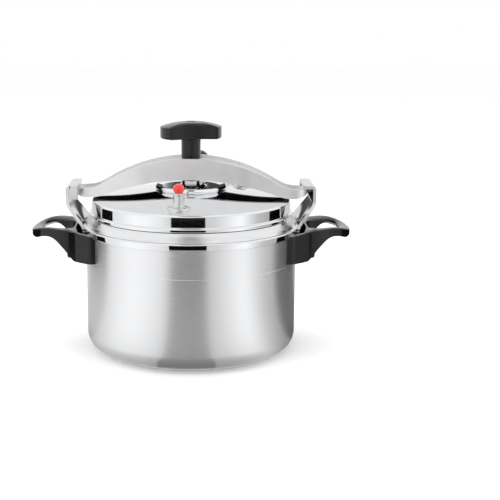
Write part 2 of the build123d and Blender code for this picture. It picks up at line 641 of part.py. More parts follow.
WING = 35.0              # half length of the knob's head
CROWN_DROP = 8.0         # how much lower the head is at its ends
CROWN_R = (WING ** 2 + CROWN_DROP ** 2) / (2 * CROWN_DROP)
CAP_R = 4.6
CAP_SEAT = 258.0
with BuildPart() as knob_grip:
    with BuildSketch(Plane.XY.rotated((0, 0, KNOB_TURN)).offset(HEAD_Z)) as head:
        with BuildLine():
            ThreePointArc((-27, 20), (0, 14.5), (27, 20))
            ThreePointArc((27, 20), (WING, 0), (27, -20))
            ThreePointArc((27, -20), (0, -14.5), (-27, -20))
            ThreePointArc((-27, -20), (-WING, 0), (-27, 20))
        make_face()
        fillet(head.vertices(), 6.0)
    extrude(amount=HEAD_TOP + 1 - HEAD_Z)
    with BuildSketch(Plane.XZ):
        with BuildLine():
            ThreePointArc((0, HEAD_TOP), (CROWN_R * sin(radians(18)), HEAD_TOP - CROWN_R * (1 - cos(radians(18)))),
                          (CROWN_R * sin(radians(36)), HEAD_TOP - CROWN_R * (1 - cos(radians(36)))))
            Polyline((CROWN_R * sin(radians(36)), HEAD_TOP - CROWN_R * (1 - cos(radians(36)))),
                     (CROWN_R * sin(radians(36)), HEAD_Z), (0, HEAD_Z), (0, HEAD_TOP))
        make_face()
    revolve(axis=Axis.Z, mode=Mode.INTERSECT)
    fillet(knob_grip.edges().filter_by_position(Axis.Z, HEAD_Z + 4, HEAD_TOP), 2.6)
    fillet(knob_grip.edges().group_by(Axis.Z)[0], 1.8)
    disc((0, 0), STEM_Z, HEAD_Z, STEM_R)
    stem_ring = knob_grip.edges().filter_by(GeomType.CIRCLE).filter_by_position(
        Axis.Z, HEAD_Z - 0.1, HEAD_Z + 0.1)
    fillet(stem_ring, 2.5)
    chamfer(knob_grip.faces().sort_by(Axis.Z)[0].edges(), 0.8)
    disc((0, 0), STEM_Z - 1, SOCKET_TOP, SCREW_R, Mode.SUBTRACT)
    disc((0, 0), CAP_SEAT, HEAD_TOP + 1, CAP_R, Mode.SUBTRACT)
finish(knob_grip.part, "knob_grip")

with BuildPart() as knob_cap:
    disc((0, 0), CAP_SEAT, 259.4, CAP_R)
    chamfer(knob_cap.edges().group_by(Axis.Z)[-1], 0.5)
finish(knob_cap.part, "knob_cap")
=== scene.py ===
"""Pressure canner: its finished surfaces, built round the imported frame, and its studio."""
import math

import bmesh
import bpy
from bpy.props import FloatProperty, FloatVectorProperty, PointerProperty
from mathutils import Matrix, Vector


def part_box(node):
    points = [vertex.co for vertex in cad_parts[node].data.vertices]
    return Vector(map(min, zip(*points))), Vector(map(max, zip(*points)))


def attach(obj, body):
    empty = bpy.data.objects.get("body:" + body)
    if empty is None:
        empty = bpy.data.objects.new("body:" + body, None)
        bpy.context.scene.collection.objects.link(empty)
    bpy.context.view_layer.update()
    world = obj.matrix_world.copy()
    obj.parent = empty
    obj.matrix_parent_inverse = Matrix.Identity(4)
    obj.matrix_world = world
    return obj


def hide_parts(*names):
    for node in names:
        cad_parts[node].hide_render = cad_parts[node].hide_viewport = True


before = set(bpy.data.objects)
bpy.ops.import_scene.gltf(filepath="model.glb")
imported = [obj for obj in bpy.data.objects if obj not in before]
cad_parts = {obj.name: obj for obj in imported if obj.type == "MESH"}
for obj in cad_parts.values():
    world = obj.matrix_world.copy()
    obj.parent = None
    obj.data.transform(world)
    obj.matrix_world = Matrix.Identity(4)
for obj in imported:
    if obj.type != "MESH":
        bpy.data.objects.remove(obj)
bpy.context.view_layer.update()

bl_info = {
    "name": "Pressure canner",
    "version": (1, 0, 0),
    "blender": (4, 5, 0),
    "location": "View3D > Sidebar > Canner",
    "description": "Builds a clamp-lid pressure canner piece by piece, with its studio",
    "category": "Object",
}

MM = 0.001                      # profiles are drawn in millimetres
ROUND = 2 * math.pi
BODY_STEPS = 192                # divisions of the large turned parts
SMALL_STEPS = 64                # divisions of the small turned parts
SHARP = math.radians(32)        # edges that turn more than this stay crisp
RING_PITCH = 0.0009             # spacing of the fine rings turned in the flare, in metres
CONE_DROP = 10.6                # fall of the lid's cone from the disc to the shoulder
CONE_FOOT_R = 110.5             # radius where the cone ends in the shoulder


def low(node):
    """Lowest corner of a node of the frame, in millimetres."""
    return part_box(node)[0] / MM


def high(node):
    """Highest corner of a node of the frame, in millimetres."""
    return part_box(node)[1] / MM


def middle(node):
    """Centre of a node of the frame, in millimetres."""
    return (low(node) + high(node)) / 2


# ------------------------------------------------------------------ sizes and colours
class VesselSizes(bpy.types.PropertyGroup):
    """Sizes of the pot and the lid."""
    wall: FloatProperty(name="Wall", description="Thickness of the pot's wall",
                        default=3 * MM, unit="LENGTH")
    base_corner: FloatProperty(name="Base corner", description="Outer radius of the base corner",
                               default=20 * MM, unit="LENGTH")
    step_height: FloatProperty(name="Step", description="Height of the fine step in the wall",
                               default=104.8 * MM, unit="LENGTH")


class ClampSizes(bpy.types.PropertyGroup):
    """Sizes of the bridge, the knob and the hooks."""
    plate: FloatProperty(name="Hook plate", description="Thickness of the hooks' plate",
                         default=3.5 * MM, unit="LENGTH")
    bridge_wall: FloatProperty(name="Bridge wall", description="Thickness of the bridge's walls",
                               default=3.5 * MM, unit="LENGTH")
    bridge_turn: FloatProperty(name="Bridge rest", description="How far the closed bridge is turned",
                               default=math.radians(-3), subtype="ANGLE")
    knob_turn: FloatProperty(name="Knob rest", description="How far the knob's wings are turned",
                             default=math.radians(11), subtype="ANGLE")


class Colours(bpy.types.PropertyGroup):
    """Colours of the finishes."""
    aluminium: FloatVectorProperty(name="Aluminium", description="Colour of the bare aluminium",
                                   default=(0.86, 0.865, 0.875), subtype="COLOR")
    steel: FloatVectorProperty(name="Steel", description="Colour of the hooks and fittings",
                               default=(0.72, 0.72, 0.73), subtype="COLOR")
    moulding: FloatVectorProperty(name="Moulding", description="Colour of the handles and knob",
                                  default=(0.005, 0.005, 0.0055), subtype="COLOR")
    indicator: FloatVectorProperty(name="Indicator", description="Colour of the indicator's head",
                                   default=(0.78, 0.020, 0.008), subtype="COLOR")
    # Painted shade: the near-black colour laid inside the bridge's channel, where shade falls under
    # the deck.
    channel_shade: FloatVectorProperty(name="Raw casting", description="Colour inside the bridge's channel",
                             default=(0.030, 0.030, 0.032), subtype="COLOR")
    silicone: FloatVectorProperty(name="Silicone", description="Colour of the gasket and the plug",
                                  default=(0.24, 0.24, 0.25), subtype="COLOR")
    bolt: FloatVectorProperty(name="Bolts", description="Colour of the blackened bolts",
                              default=(0.045, 0.045, 0.047), subtype="COLOR")
    floor: FloatVectorProperty(name="Floor", description="Colour of the floor",
                               default=(0.93, 0.93, 0.93), subtype="COLOR")


class StudioSizes(bpy.types.PropertyGroup):
    """Camera and lights."""
    distance: FloatProperty(name="Distance", description="Camera's distance from the pot's axis",
                            default=1.259, unit="LENGTH")
    height: FloatProperty(name="Height", description="Camera's height above the floor",
                          default=0.389, unit="LENGTH")
    pitch: FloatProperty(name="Pitch", description="How far the camera looks down",
                         default=math.radians(12.434), subtype="ANGLE")
    lens: FloatProperty(name="Lens", description="Focal length on a 36 mm sensor, in millimetres",
                        default=80.4)
    aside: FloatProperty(name="Shift", description="Sideways shift of the view", default=0.118)
    surround: FloatProperty(name="Surround", description="Brightness of the white surround",
                            default=1.0)


# ------------------------------------------------------------------ outlines
def rounded(corners, steps=6, closed=False):
    """Points of an outline whose corners (x, y, radius) are rounded to their radius."""
    points = []
    count = len(corners)
    for i, (x, y, radius) in enumerate(corners):
        here = Vector((x, y))
        if radius == 0 or (not closed and i in (0, count - 1)):
            points.append(here)
            continue
        before = (Vector(corners[i - 1][:2]) - here).normalized()
        after = (Vector(corners[(i + 1) % count][:2]) - here).normalized()
        half = math.acos(max(-1, min(1, before.dot(after)))) / 2
        centre = here + (before + after).normalized() * (radius / math.sin(half))
        first = here + before * (radius / math.tan(half)) - centre
        last = here + after * (radius / math.tan(half)) - centre
        start = math.atan2(first.y, first.x)
        sweep = math.atan2(first.cross(last), first.dot(last))
        points += [centre + Vector((math.cos(start + sweep * k / steps),
                                    math.sin(start + sweep * k / steps))) * radius
                   for k in range(steps + 1)]
    return points


def bow(start, end, bulge, steps=8):
    """Points along the circular arc from start to end that stands out by bulge to its left."""
    start, end = Vector(start), Vector(end)
    chord = end - start
    side = Vector((-chord.y, chord.x)).normalized()
    radius = (chord.length ** 2 / 4 + bulge ** 2) / (2 * bulge)
    centre = (start + end) / 2 + side * (bulge - radius)
    first, last = start - centre, end - centre
    turn = math.atan2(first.cross(last), first.dot(last))
    angle = math.atan2(first.y, first.x)
    return [centre + Vector((math.cos(angle + turn * k / steps),
                             math.sin(angle + turn * k / steps))) * abs(radius)
            for k in range(steps + 1)]


def walk(outline, count):
    """Points at even spacing along a closed outline, from its first point on."""
    loop = outline + [outline[0]]
    lengths = [(b - a).length for a, b in zip(loop, loop[1:])]
    total = sum(lengths)
    points, i, gone = [], 0, 0.0
    for k in range(count):
        want = total * k / count
        while gone + lengths[i] < want:
            gone += lengths[i]
            i += 1
        points.append(loop[i].lerp(loop[i + 1], (want - gone) / lengths[i]))
    return points


def between(x, table):
    """Value at x of a smooth curve through the (x, value) pairs of a table."""
    if x <= table[0][0]:
        return table[0][1]
    for i in range(len(table) - 1):
        x0, v0 = table[i]
        x1, v1 = table[i + 1]
        if x <= x1:
            before = table[i - 1] if i else table[0]
            after = table[i + 2] if i + 2 < len(table) else table[-1]
            slope0 = (v1 - before[1]) / (x1 - before[0])
            slope1 = (after[1] - v0) / (after[0] - x0)
            t, h = (x - x0) / (x1 - x0), x1 - x0
            return ((1 + 2 * t) * (1 - t) ** 2 * v0 + t * (1 - t) ** 2 * h * slope0
                    + t * t * (3 - 2 * t) * v1 + t * t * (t - 1) * h * slope1)
    return table[-1][1]


def ease(low_end, high_end, x):
    """Smooth step from 0 at low_end to 1 at high_end."""
    t = max(0.0, min(1.0, (x - low_end) / (high_end - low_end)))
    return t * t * (3 - 2 * t)


# ------------------------------------------------------------------ mesh work
def spin(bm, profile, at=(0, 0), steps=BODY_STEPS, closed=False):
    """Turn a profile of (radius, height) points right round a vertical axis."""
    verts = [bm.verts.new((at[0] + r, at[1], z)) for r, z in profile]
    edges = [bm.edges.new(pair) for pair in zip(verts, verts[1:])]
    if closed:
        edges.append(bm.edges.new((verts[-1], verts[0])))
    bmesh.ops.spin(bm, geom=verts + edges, cent=(at[0], at[1], 0), axis=(0, 0, 1), angle=ROUND,
                   steps=steps, use_merge=True)
    bmesh.ops.remove_doubles(bm, verts=bm.verts, dist=0.0005)


def prism(bm, count, radius, bottom, top, at=(0, 0), edge=0.6):
    """A nut or plug with count sides between two heights, its rims broken by a bevel."""
    made = bmesh.ops.create_circle(bm, cap_ends=True, segments=count, radius=radius,
                                   matrix=Matrix.Translation((at[0], at[1], bottom)))
    face = made["verts"][0].link_faces[0]
    grown = bmesh.ops.extrude_face_region(bm, geom=[face])["geom"]
    tops = [v for v in grown if isinstance(v, bmesh.types.BMVert)]
    bmesh.ops.translate(bm, verts=tops, vec=(0, 0, top - bottom))
    rims = [e for e in bm.edges if abs(e.verts[0].co.z - e.verts[1].co.z) < 1e-4]
    bmesh.ops.bevel(bm, geom=rims, offset=edge, segments=2, affect="EDGES", profile=0.5,
                    material=-1)


def break_edges(bm, width, angle=math.radians(50), segments=3, keep=None):
    """Round the crisp edges of a closed shape."""
    crisp = [e for e in bm.edges if len(e.link_faces) == 2 and e.calc_face_angle() > angle
             and (keep is None or keep(e))]
    bmesh.ops.bevel(bm, geom=crisp, offset=width, segments=segments, affect="EDGES", profile=0.5,
                    material=-1, clamp_overlap=True)


def finish_piece(name, bm, body, finishes, nodes=(), choose=None, turn=0.0):
    """Make the shape an object of the scene that rides its body and stands for its nodes.
    choose(centre) says which of the finishes a face takes."""
    bmesh.ops.recalc_face_normals(bm, faces=bm.faces)
    for face in bm.faces:
        face.smooth = True
        if choose:
            face.material_index = choose(face.calc_center_median())
    for edge in bm.edges:
        if len(edge.link_faces) == 2 and edge.calc_face_angle() > SHARP:
            edge.smooth = False
    bmesh.ops.rotate(bm, verts=bm.verts, cent=(0, 0, 0), matrix=Matrix.Rotation(turn, 3, "Z"))
    bmesh.ops.scale(bm, vec=(MM, MM, MM), verts=bm.verts)
    mesh = bpy.data.meshes.new(name)
    bm.to_mesh(mesh)
    bm.free()
    for finish in finishes:
        mesh.materials.append(finish)
    piece = bpy.data.objects.new(name, mesh)
    bpy.context.scene.collection.objects.link(piece)
    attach(piece, body)
    if nodes:
        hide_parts(*nodes)
    shading = piece.modifiers.new("even_shading", "WEIGHTED_NORMAL")
    shading.keep_sharp = True
    return piece


# ------------------------------------------------------------------ finishes
class Finish:
    """A node material, built up step by step round one surface shader."""

    def __init__(self, name, colour, metallic, roughness, **sockets):
        self.material = bpy.data.materials.new(name)
        self.material.use_nodes = True
        self.tree = self.material.node_tree
        self.shader = self.tree.nodes["Principled BSDF"]
        self.shader.inputs["Base Color"].default_value = (*colour, 1)
        self.shader.inputs["Metallic"].default_value = metallic
        self.shader.inputs["Roughness"].default_value = roughness
        for socket, value in sockets.items():
            self.shader.inputs[socket.replace("_", " ")].default_value = value

    def node(self, kind, **inputs):
        """A node of a kind, with its inputs set or linked by name."""
        made = self.tree.nodes.new("ShaderNode" + kind)
        for socket, value in inputs.items():
            self.feed(made.inputs[socket.replace("_", " ")], value)
        return made

    def feed(self, socket, value):
        """Link an output, or set a plain value."""
        if isinstance(value, bpy.types.NodeSocket):
            self.tree.links.new(value, socket)
        else:
            socket.default_value = value

    def math(self, operation, first, second=0.0):
        """One arithmetic step."""
        step = self.tree.nodes.new("ShaderNodeMath")
        step.operation = operation
        self.feed(step.inputs[0], first)
        self.feed(step.inputs[1], second)
        return step.outputs[0]

    def ramp(self, value, start, end, low_value, high_value):
        """Value mapped from one range to another, and held at its ends."""
        step = self.node("MapRange", Value=value, From_Min=start, From_Max=end, To_Min=low_value,
                         To_Max=high_value)
        return step.outputs[0]

    def place(self):
        """x, y and z of the surface point, in the object's own frame."""
        where = self.node("TexCoord").outputs["Object"]
        return where, self.node("SeparateXYZ", Vector=where).outputs

    def noise(self, vector, scale, detail=3.0, roughness=0.5):
        """Cloudy pattern between 0 and 1."""
        return self.node("TexNoise", Vector=vector, Scale=scale, Detail=detail,
                         Roughness=roughness).outputs[0]

    def stretched(self, x, y, z):
        """Surface point stretched so that a pattern on it runs in streaks."""
        where, _ = self.place()
        return self.node("Mapping", Vector=where, Scale=(x, y, z)).outputs[0]

    def lathe_lines(self, per_mm, around=6.0):
        """Streaks that run round the vertical axis, as a lathe or a polishing wheel leaves."""
        _, xyz = self.place()
        angle = self.math("ARCTAN2", xyz[1], xyz[0])
        radius = self.math("SQRT", self.math("ADD", self.math("POWER", xyz[0], 2.0),
                                             self.math("POWER", xyz[1], 2.0)))
        along = self.math("MULTIPLY", self.math("ADD", radius, xyz[2]), per_mm * 1000.0)
        vector = self.node("CombineXYZ", X=self.math("MULTIPLY", angle, around), Z=along).outputs[0]
        return self.noise(vector, 1.0, 4.0, 0.6)

    def mottle(self, pattern, darkest, colour, start=0.3, end=0.7):
        """Colour that varies with a pattern, between colour times darkest and colour."""
        dark = tuple(c * darkest for c in colour)
        mix = self.node("Mix")
        mix.data_type = "RGBA"
        self.feed(mix.inputs["Factor"], self.ramp(pattern, start, end, 0.0, 1.0))
        mix.inputs[6].default_value = (*dark, 1)
        mix.inputs[7].default_value = (*colour, 1)
        self.feed(self.shader.inputs["Base Color"], mix.outputs[2])

    def rough(self, pattern, least, most, start=0.3, end=0.7):
        """Roughness that varies with a pattern."""
        self.feed(self.shader.inputs["Roughness"], self.ramp(pattern, start, end, least, most))

    def bump(self, height, strength, distance=0.0001):
        """Fine relief from a pattern."""
        relief = self.node("Bump", Height=height, Strength=strength, Distance=distance)
        self.feed(self.shader.inputs["Normal"], relief.outputs[0])

    def ring_tangent(self):
        """Grain direction that runs round the vertical axis."""
        grain = self.tree.nodes.new("ShaderNodeTangent")
        grain.direction_type = "RADIAL"
        grain.axis = "Z"
        self.feed(self.shader.inputs["Tangent"], grain.outputs[0])


def satin_wall(colours):
    """Fine-turned satin aluminium of the pot's wall."""
    f = Finish("satin_wall", colours.aluminium, 1.0, 0.3, Anisotropic=0.5,
               Anisotropic_Rotation=0.25)
    lines = f.lathe_lines(1.6)
    f.mottle(lines, 0.94, colours.aluminium)
    f.rough(lines, 0.26, 0.36)
    f.bump(lines, 0.05)
    f.ring_tangent()
    return f.material


def polished(colours):
    """Mirror-polished aluminium of the lid, the bead and the disc."""
    f = Finish("polished_aluminium", colours.aluminium, 1.0, 0.05)
    lines = f.lathe_lines(0.9, 3.0)
    where, _ = f.place()
    f.mottle(f.noise(where, 60.0), 0.97, colours.aluminium)
    f.rough(lines, 0.035, 0.075)
    f.bump(lines, 0.012)
    return f.material


def turned_flare(colours):
    """Turned aluminium with fine rings, between the bead and the lid's lip."""
    f = Finish("turned_flare", colours.aluminium, 1.0, 0.22, Anisotropic=0.6,
               Anisotropic_Rotation=0.25)
    _, xyz = f.place()
    rings = f.math("SINE", f.math("MULTIPLY", xyz[2], ROUND / RING_PITCH))
    lines = f.lathe_lines(2.0)
    f.mottle(lines, 0.88, colours.aluminium)
    f.rough(lines, 0.1, 0.2)
    f.bump(rings, 0.2)
    f.ring_tangent()
    return f.material


def cast_bridge(colours):
    """Bright tumbled casting of the clamp bridge."""
    f = Finish("cast_aluminium", colours.aluminium, 1.0, 0.2)
    where, _ = f.place()
    clouds = f.noise(where, 45.0, 4.0)
    grain = f.noise(where, 900.0, 2.0)
    f.mottle(clouds, 0.93, colours.aluminium)
    f.rough(clouds, 0.30, 0.36)
    f.bump(grain, 0.02)
    return f.material


def painted_channel_shade(colours):
    """Painted shade: near-black, rough metal inside the bridge's channel, where shade falls under the
    deck.
    """
    colour = colours.channel_shade
    f = Finish("painted_channel_shade", colour, 0.6, 0.6)
    where, _ = f.place()
    grain = f.noise(where, 700.0, 3.0)
    f.mottle(grain, 0.6, colour)
    f.rough(grain, 0.5, 0.7)
    f.bump(grain, 0.2)
    return f.material


def hook_plate(colours):
    """Rolled steel plate of the hooks, brushed along its length."""
    f = Finish("hook_plate", colours.steel, 1.0, 0.1)
    streaks = f.noise(f.stretched(1400.0, 1400.0, 25.0), 1.0, 3.0)
    where, _ = f.place()
    f.mottle(f.noise(where, 55.0, 4.0), 0.88, colours.steel)
    f.rough(streaks, 0.07, 0.13)
    f.bump(streaks, 0.02)
    return f.material


def bright_steel(colours):
    """Polished fittings: valve housing, nuts, screw and weight."""
    f = Finish("bright_steel", colours.steel, 1.0, 0.08)
    where, _ = f.place()
    clouds = f.noise(where, 160.0, 3.0)
    f.mottle(clouds, 0.92, colours.steel)
    f.rough(clouds, 0.05, 0.13)
    return f.material


def bakelite(colours):
    """Glossy black moulding of the handles, the knob and the weight's cap."""
    f = Finish("black_bakelite", colours.moulding, 0.0, 0.16, Coat_Weight=0.3,
               Coat_Roughness=0.05, Specular_IOR_Level=0.25)
    where, _ = f.place()
    clouds = f.noise(where, 70.0, 5.0)
    f.mottle(f.noise(where, 420.0, 2.0), 0.7, colours.moulding)
    f.rough(clouds, 0.12, 0.24)
    f.bump(f.noise(where, 110.0, 2.0), 0.02, 0.0004)
    return f.material


def red_head(colours):
    """Glossy red head of the lock indicator."""
    f = Finish("red_plastic", colours.indicator, 0.0, 0.18, Coat_Weight=0.7, Coat_Roughness=0.05)
    where, _ = f.place()
    clouds = f.noise(where, 260.0, 3.0)
    f.mottle(clouds, 0.86, colours.indicator)
    f.rough(clouds, 0.14, 0.24)
    return f.material


def silicone(colours):
    """Matt grey silicone of the gasket, the seal and the plug."""
    colour = colours.silicone
    f = Finish("silicone", colour, 0.0, 0.6)
    where, _ = f.place()
    clouds = f.noise(where, 320.0, 4.0)
    f.mottle(clouds, 0.85, colour)
    f.rough(clouds, 0.52, 0.68)
    f.bump(clouds, 0.05)
    return f.material


def dark_bolt(colours):
    """Blackened steel of the handle bolts and the knob's cap."""
    colour = colours.bolt
    f = Finish("dark_bolt", colour, 0.7, 0.35)
    where, _ = f.place()
    clouds = f.noise(where, 500.0, 3.0)
    f.mottle(clouds, 0.7, colour)
    f.rough(clouds, 0.28, 0.44)
    return f.material


MAKERS = {
    "satin": satin_wall, "polished": polished, "turned": turned_flare, "cast": cast_bridge,
    "channel_shade": painted_channel_shade, "hook": hook_plate, "steel": bright_steel, "bakelite": bakelite,
    "red": red_head, "silicone": silicone, "bolt": dark_bolt,
}
FINISHES = {}


def finish(name):
    """The named finish, made when it is first asked for."""
    if name not in FINISHES:
        FINISHES[name] = MAKERS[name](bpy.context.scene.canner_colours)
    return FINISHES[name]


# ------------------------------------------------------------------ pieces
class CANNER_OT_pot(bpy.types.Operator):
    """Turn the pot: base, wall, polished bead, flare and neck"""
    bl_idname = "canner.pot"
    bl_label = "Pot"

    def execute(self, context):
        sizes = context.scene.canner_vessel
        bead_r, mouth = high("pot_body").y, high("pot_body").z
        wall_r = bead_r - 3.0
        neck_r = high("lid_shell").x - 5.7
        wall, corner = sizes.wall / MM, sizes.base_corner / MM
        step = sizes.step_height / MM
        bead_low, bead_top = mouth - 27.4, mouth - 18.6
        flare_top = mouth - 9.4
        outside = rounded([(0, 0.6, 0), (wall_r - corner - 14, 0.6, 0), (wall_r - corner - 10, 0, 0),
                           (wall_r, 0, corner), (wall_r, step, 0)], 14)
        outside += rounded([(wall_r, step + 0.1, 0), (wall_r - 0.25, step + 0.7, 0),
                            (wall_r - 0.25, bead_low - 0.8, 0), (wall_r - 0.1, bead_low, 0)])
        outside += rounded([(wall_r - 0.1, bead_low, 0), (bead_r - 0.3, bead_low + 0.5, 1.1),
                            (bead_r - 0.05, (bead_low + bead_top) / 2, 40),
                            (bead_r - 0.3, bead_top - 0.5, 1.8), (wall_r + 0.5, bead_top, 0)], 6)
        outside += bow((wall_r + 0.3, bead_top + 0.2), (neck_r + 3.2, flare_top), 0.8, 8)
        rim = rounded([(neck_r, flare_top + 0.6, 0), (neck_r, mouth, 1.2), (neck_r - wall, mouth, 1.2),
                       (neck_r - wall, flare_top + 1.6, 0)], 4)
        inside = rounded([(wall_r - wall, bead_low + 6, 0), (wall_r - wall, wall, corner - wall),
                          (0, wall, 0)], 14)
        bm = bmesh.new()
        spin(bm, [tuple(p) for p in outside + rim + inside])

        def choose(centre):
            """Satin wall, base and inside; polished bead; turned flare and mouth."""
            radius = math.hypot(centre.x, centre.y)
            if radius < wall_r - 2 and centre.z < flare_top - 3 or centre.z < bead_low:
                return 0
            if centre.z < bead_top:
                return 1
            return 2

        finish_piece("pot_body", bm, "vessel",
                     [finish("satin"), finish("polished"), finish("turned")], ["pot_body"], choose)
        return {"FINISHED"}


class CANNER_OT_lid(bpy.types.Operator):
    """Turn the lid with its rolled lip, skirt and cone, and the pressure disc on it"""
    bl_idname = "canner.lid"
    bl_label = "Lid and disc"

    def execute(self, context):
        lip_r, lip_z = high("lid_shell").x, low("lid_shell").z
        top = high("lid_shell").z
        disc_r, disc_top = high("pressure_disc").x, high("pressure_disc").z
        skirt_r, bore_r = lip_r - 3.0, lip_r - 5.2
        shoulder = top - CONE_DROP
        lip = rounded([(bore_r, lip_z, 0), (lip_r, lip_z, 1.1), (lip_r, lip_z + 4, 1.2),
                       (skirt_r, lip_z + 4.4, 0.8), (skirt_r, shoulder, 2.2), (disc_r, top, 0),
                       (0, top, 0)], 7)
        under = rounded([(0, top - 2.5, 0), (disc_r, top - 2.5, 0), (100.5, shoulder - 1.0, 1),
                         (100.5, shoulder - 8.9, 0.6), (103, shoulder - 8.9, 0.6),
                         (103, shoulder - 5.4, 0), (bore_r, shoulder - 5.4, 0)], 3)
        bm = bmesh.new()
        spin(bm, [tuple(p) for p in lip + under], closed=True)
        finish_piece("lid_shell", bm, "vessel", [finish("polished")],
                     ["lid_shell"])

        well = disc_top - 1.6
        face = rounded([(0, top, 0), (disc_r - 0.6, top, 1.2), (disc_r, top + 2.6, 2.4),
                        (disc_r - 1.6, disc_top - 0.3, 1.6), (disc_r - 5.2, disc_top - 1.0, 2.0),
                        (disc_r - 9.0, disc_top - 1.9, 3.0), (18, disc_top - 1.9, 1.5),
                        (15.4, disc_top, 0.8), (12.8, disc_top, 0.6), (12.2, well, 0.4),
                        (0, well, 0)], 5)
        bm = bmesh.new()
        spin(bm, [tuple(p) for p in face])
        finish_piece("pressure_disc", bm, "vessel", [finish("polished")],
                     ["pressure_disc"])
        return {"FINISHED"}


class CANNER_OT_hooks(bpy.types.Operator):
    """Bend the two steel hooks, each with its lip and folded stop wall"""
    bl_idname = "canner.hooks"
    bl_label = "Hooks"

    FOOT_R = 126.8          # outer radius of the foot that hugs the pot
    LEAN = (144.5, 170.5)   # heights between which the plate leans outwards
    LIP = 13.5              # how far the lip reaches inwards
    WIDE, NARROW = 37.0, 29.0       # half widths at the foot and at the lip
    FOLD = (-1.4, -2.2, -11.5)      # steps down of the stop wall from the lip's end

    def bent_plate(self, side):
        """One hook: a flat grid bent along its path, folded at one end and given thickness."""
        thick = bpy.context.scene.canner_clamp.plate / MM
        reach = high("hook_right").x
        foot, top = low("hook_right").z, high("hook_right").z
        path = rounded([(self.FOOT_R, foot, 0), (self.FOOT_R, self.LEAN[0], 14),
                        (reach, self.LEAN[1], 14), (reach, top, 4.2), (reach - self.LIP, top, 0)], 8)
        halves = [(foot, self.WIDE), (146.0, self.WIDE), (158.0, 34.8), (170.0, 29.8),
                  (176.0, self.NARROW), (top, self.NARROW)]
        across, along = 24, 72
        loop = [Vector(p) for p in path]
        lengths = [(b - a).length for a, b in zip(loop, loop[1:])]
        total = sum(lengths)

        def at(fraction):
            """Point of the path a fraction of the way along."""
            want = total * fraction
            for i, length in enumerate(lengths):
                if want <= length or i == len(lengths) - 1:
                    return loop[i].lerp(loop[i + 1], min(1.0, want / length))
                want -= length

        bm = bmesh.new()
        bmesh.ops.create_grid(bm, x_segments=across, y_segments=along, size=0.5)
        for vert in bm.verts:
            point = at(vert.co.y + 0.5)
            half = between(point.y, halves)
            y = vert.co.x * 2 * half
            hug = 1.0 - ease(141.0, 171.0, point.y)
            curve = self.FOOT_R - math.sqrt(self.FOOT_R ** 2 - y * y)
            vert.co = Vector((point.x - hug * curve, y, point.y))
        fold_y = side * self.NARROW
        rim = [e for e in bm.edges if e.is_boundary
               and all(abs(v.co.y - fold_y) < 0.01 and v.co.z > top - 0.01 for v in e.verts)]
        for drop in self.FOLD:
            grown = bmesh.ops.extrude_edge_only(bm, edges=rim)["geom"]
            rim = [g for g in grown if isinstance(g, bmesh.types.BMEdge)
                   and all(v in grown for v in g.verts)]
            bmesh.ops.translate(bm, verts=[g for g in grown if isinstance(g, bmesh.types.BMVert)],
                                vec=(0, 0, drop))
        bmesh.ops.remove_doubles(bm, verts=bm.verts, dist=0.001)
        bmesh.ops.recalc_face_normals(bm, faces=bm.faces)
        middle_face = max(bm.faces, key=lambda f: f.calc_center_median().x)
        if middle_face.normal.x < 0:
            bmesh.ops.reverse_faces(bm, faces=bm.faces)
        bmesh.ops.solidify(bm, geom=bm.faces[:], thickness=thick)
        break_edges(bm, 0.7, math.radians(60), 3)
        if side < 0:
            bmesh.ops.scale(bm, vec=(-1, 1, 1), verts=bm.verts)
            bmesh.ops.reverse_faces(bm, faces=bm.faces)
        return bm

    def execute(self, context):
        for name, side in (("hook_right", 1), ("hook_left", -1)):
            finish_piece(name, self.bent_plate(side), "vessel", [finish("hook")],
                         [name])
        return {"FINISHED"}


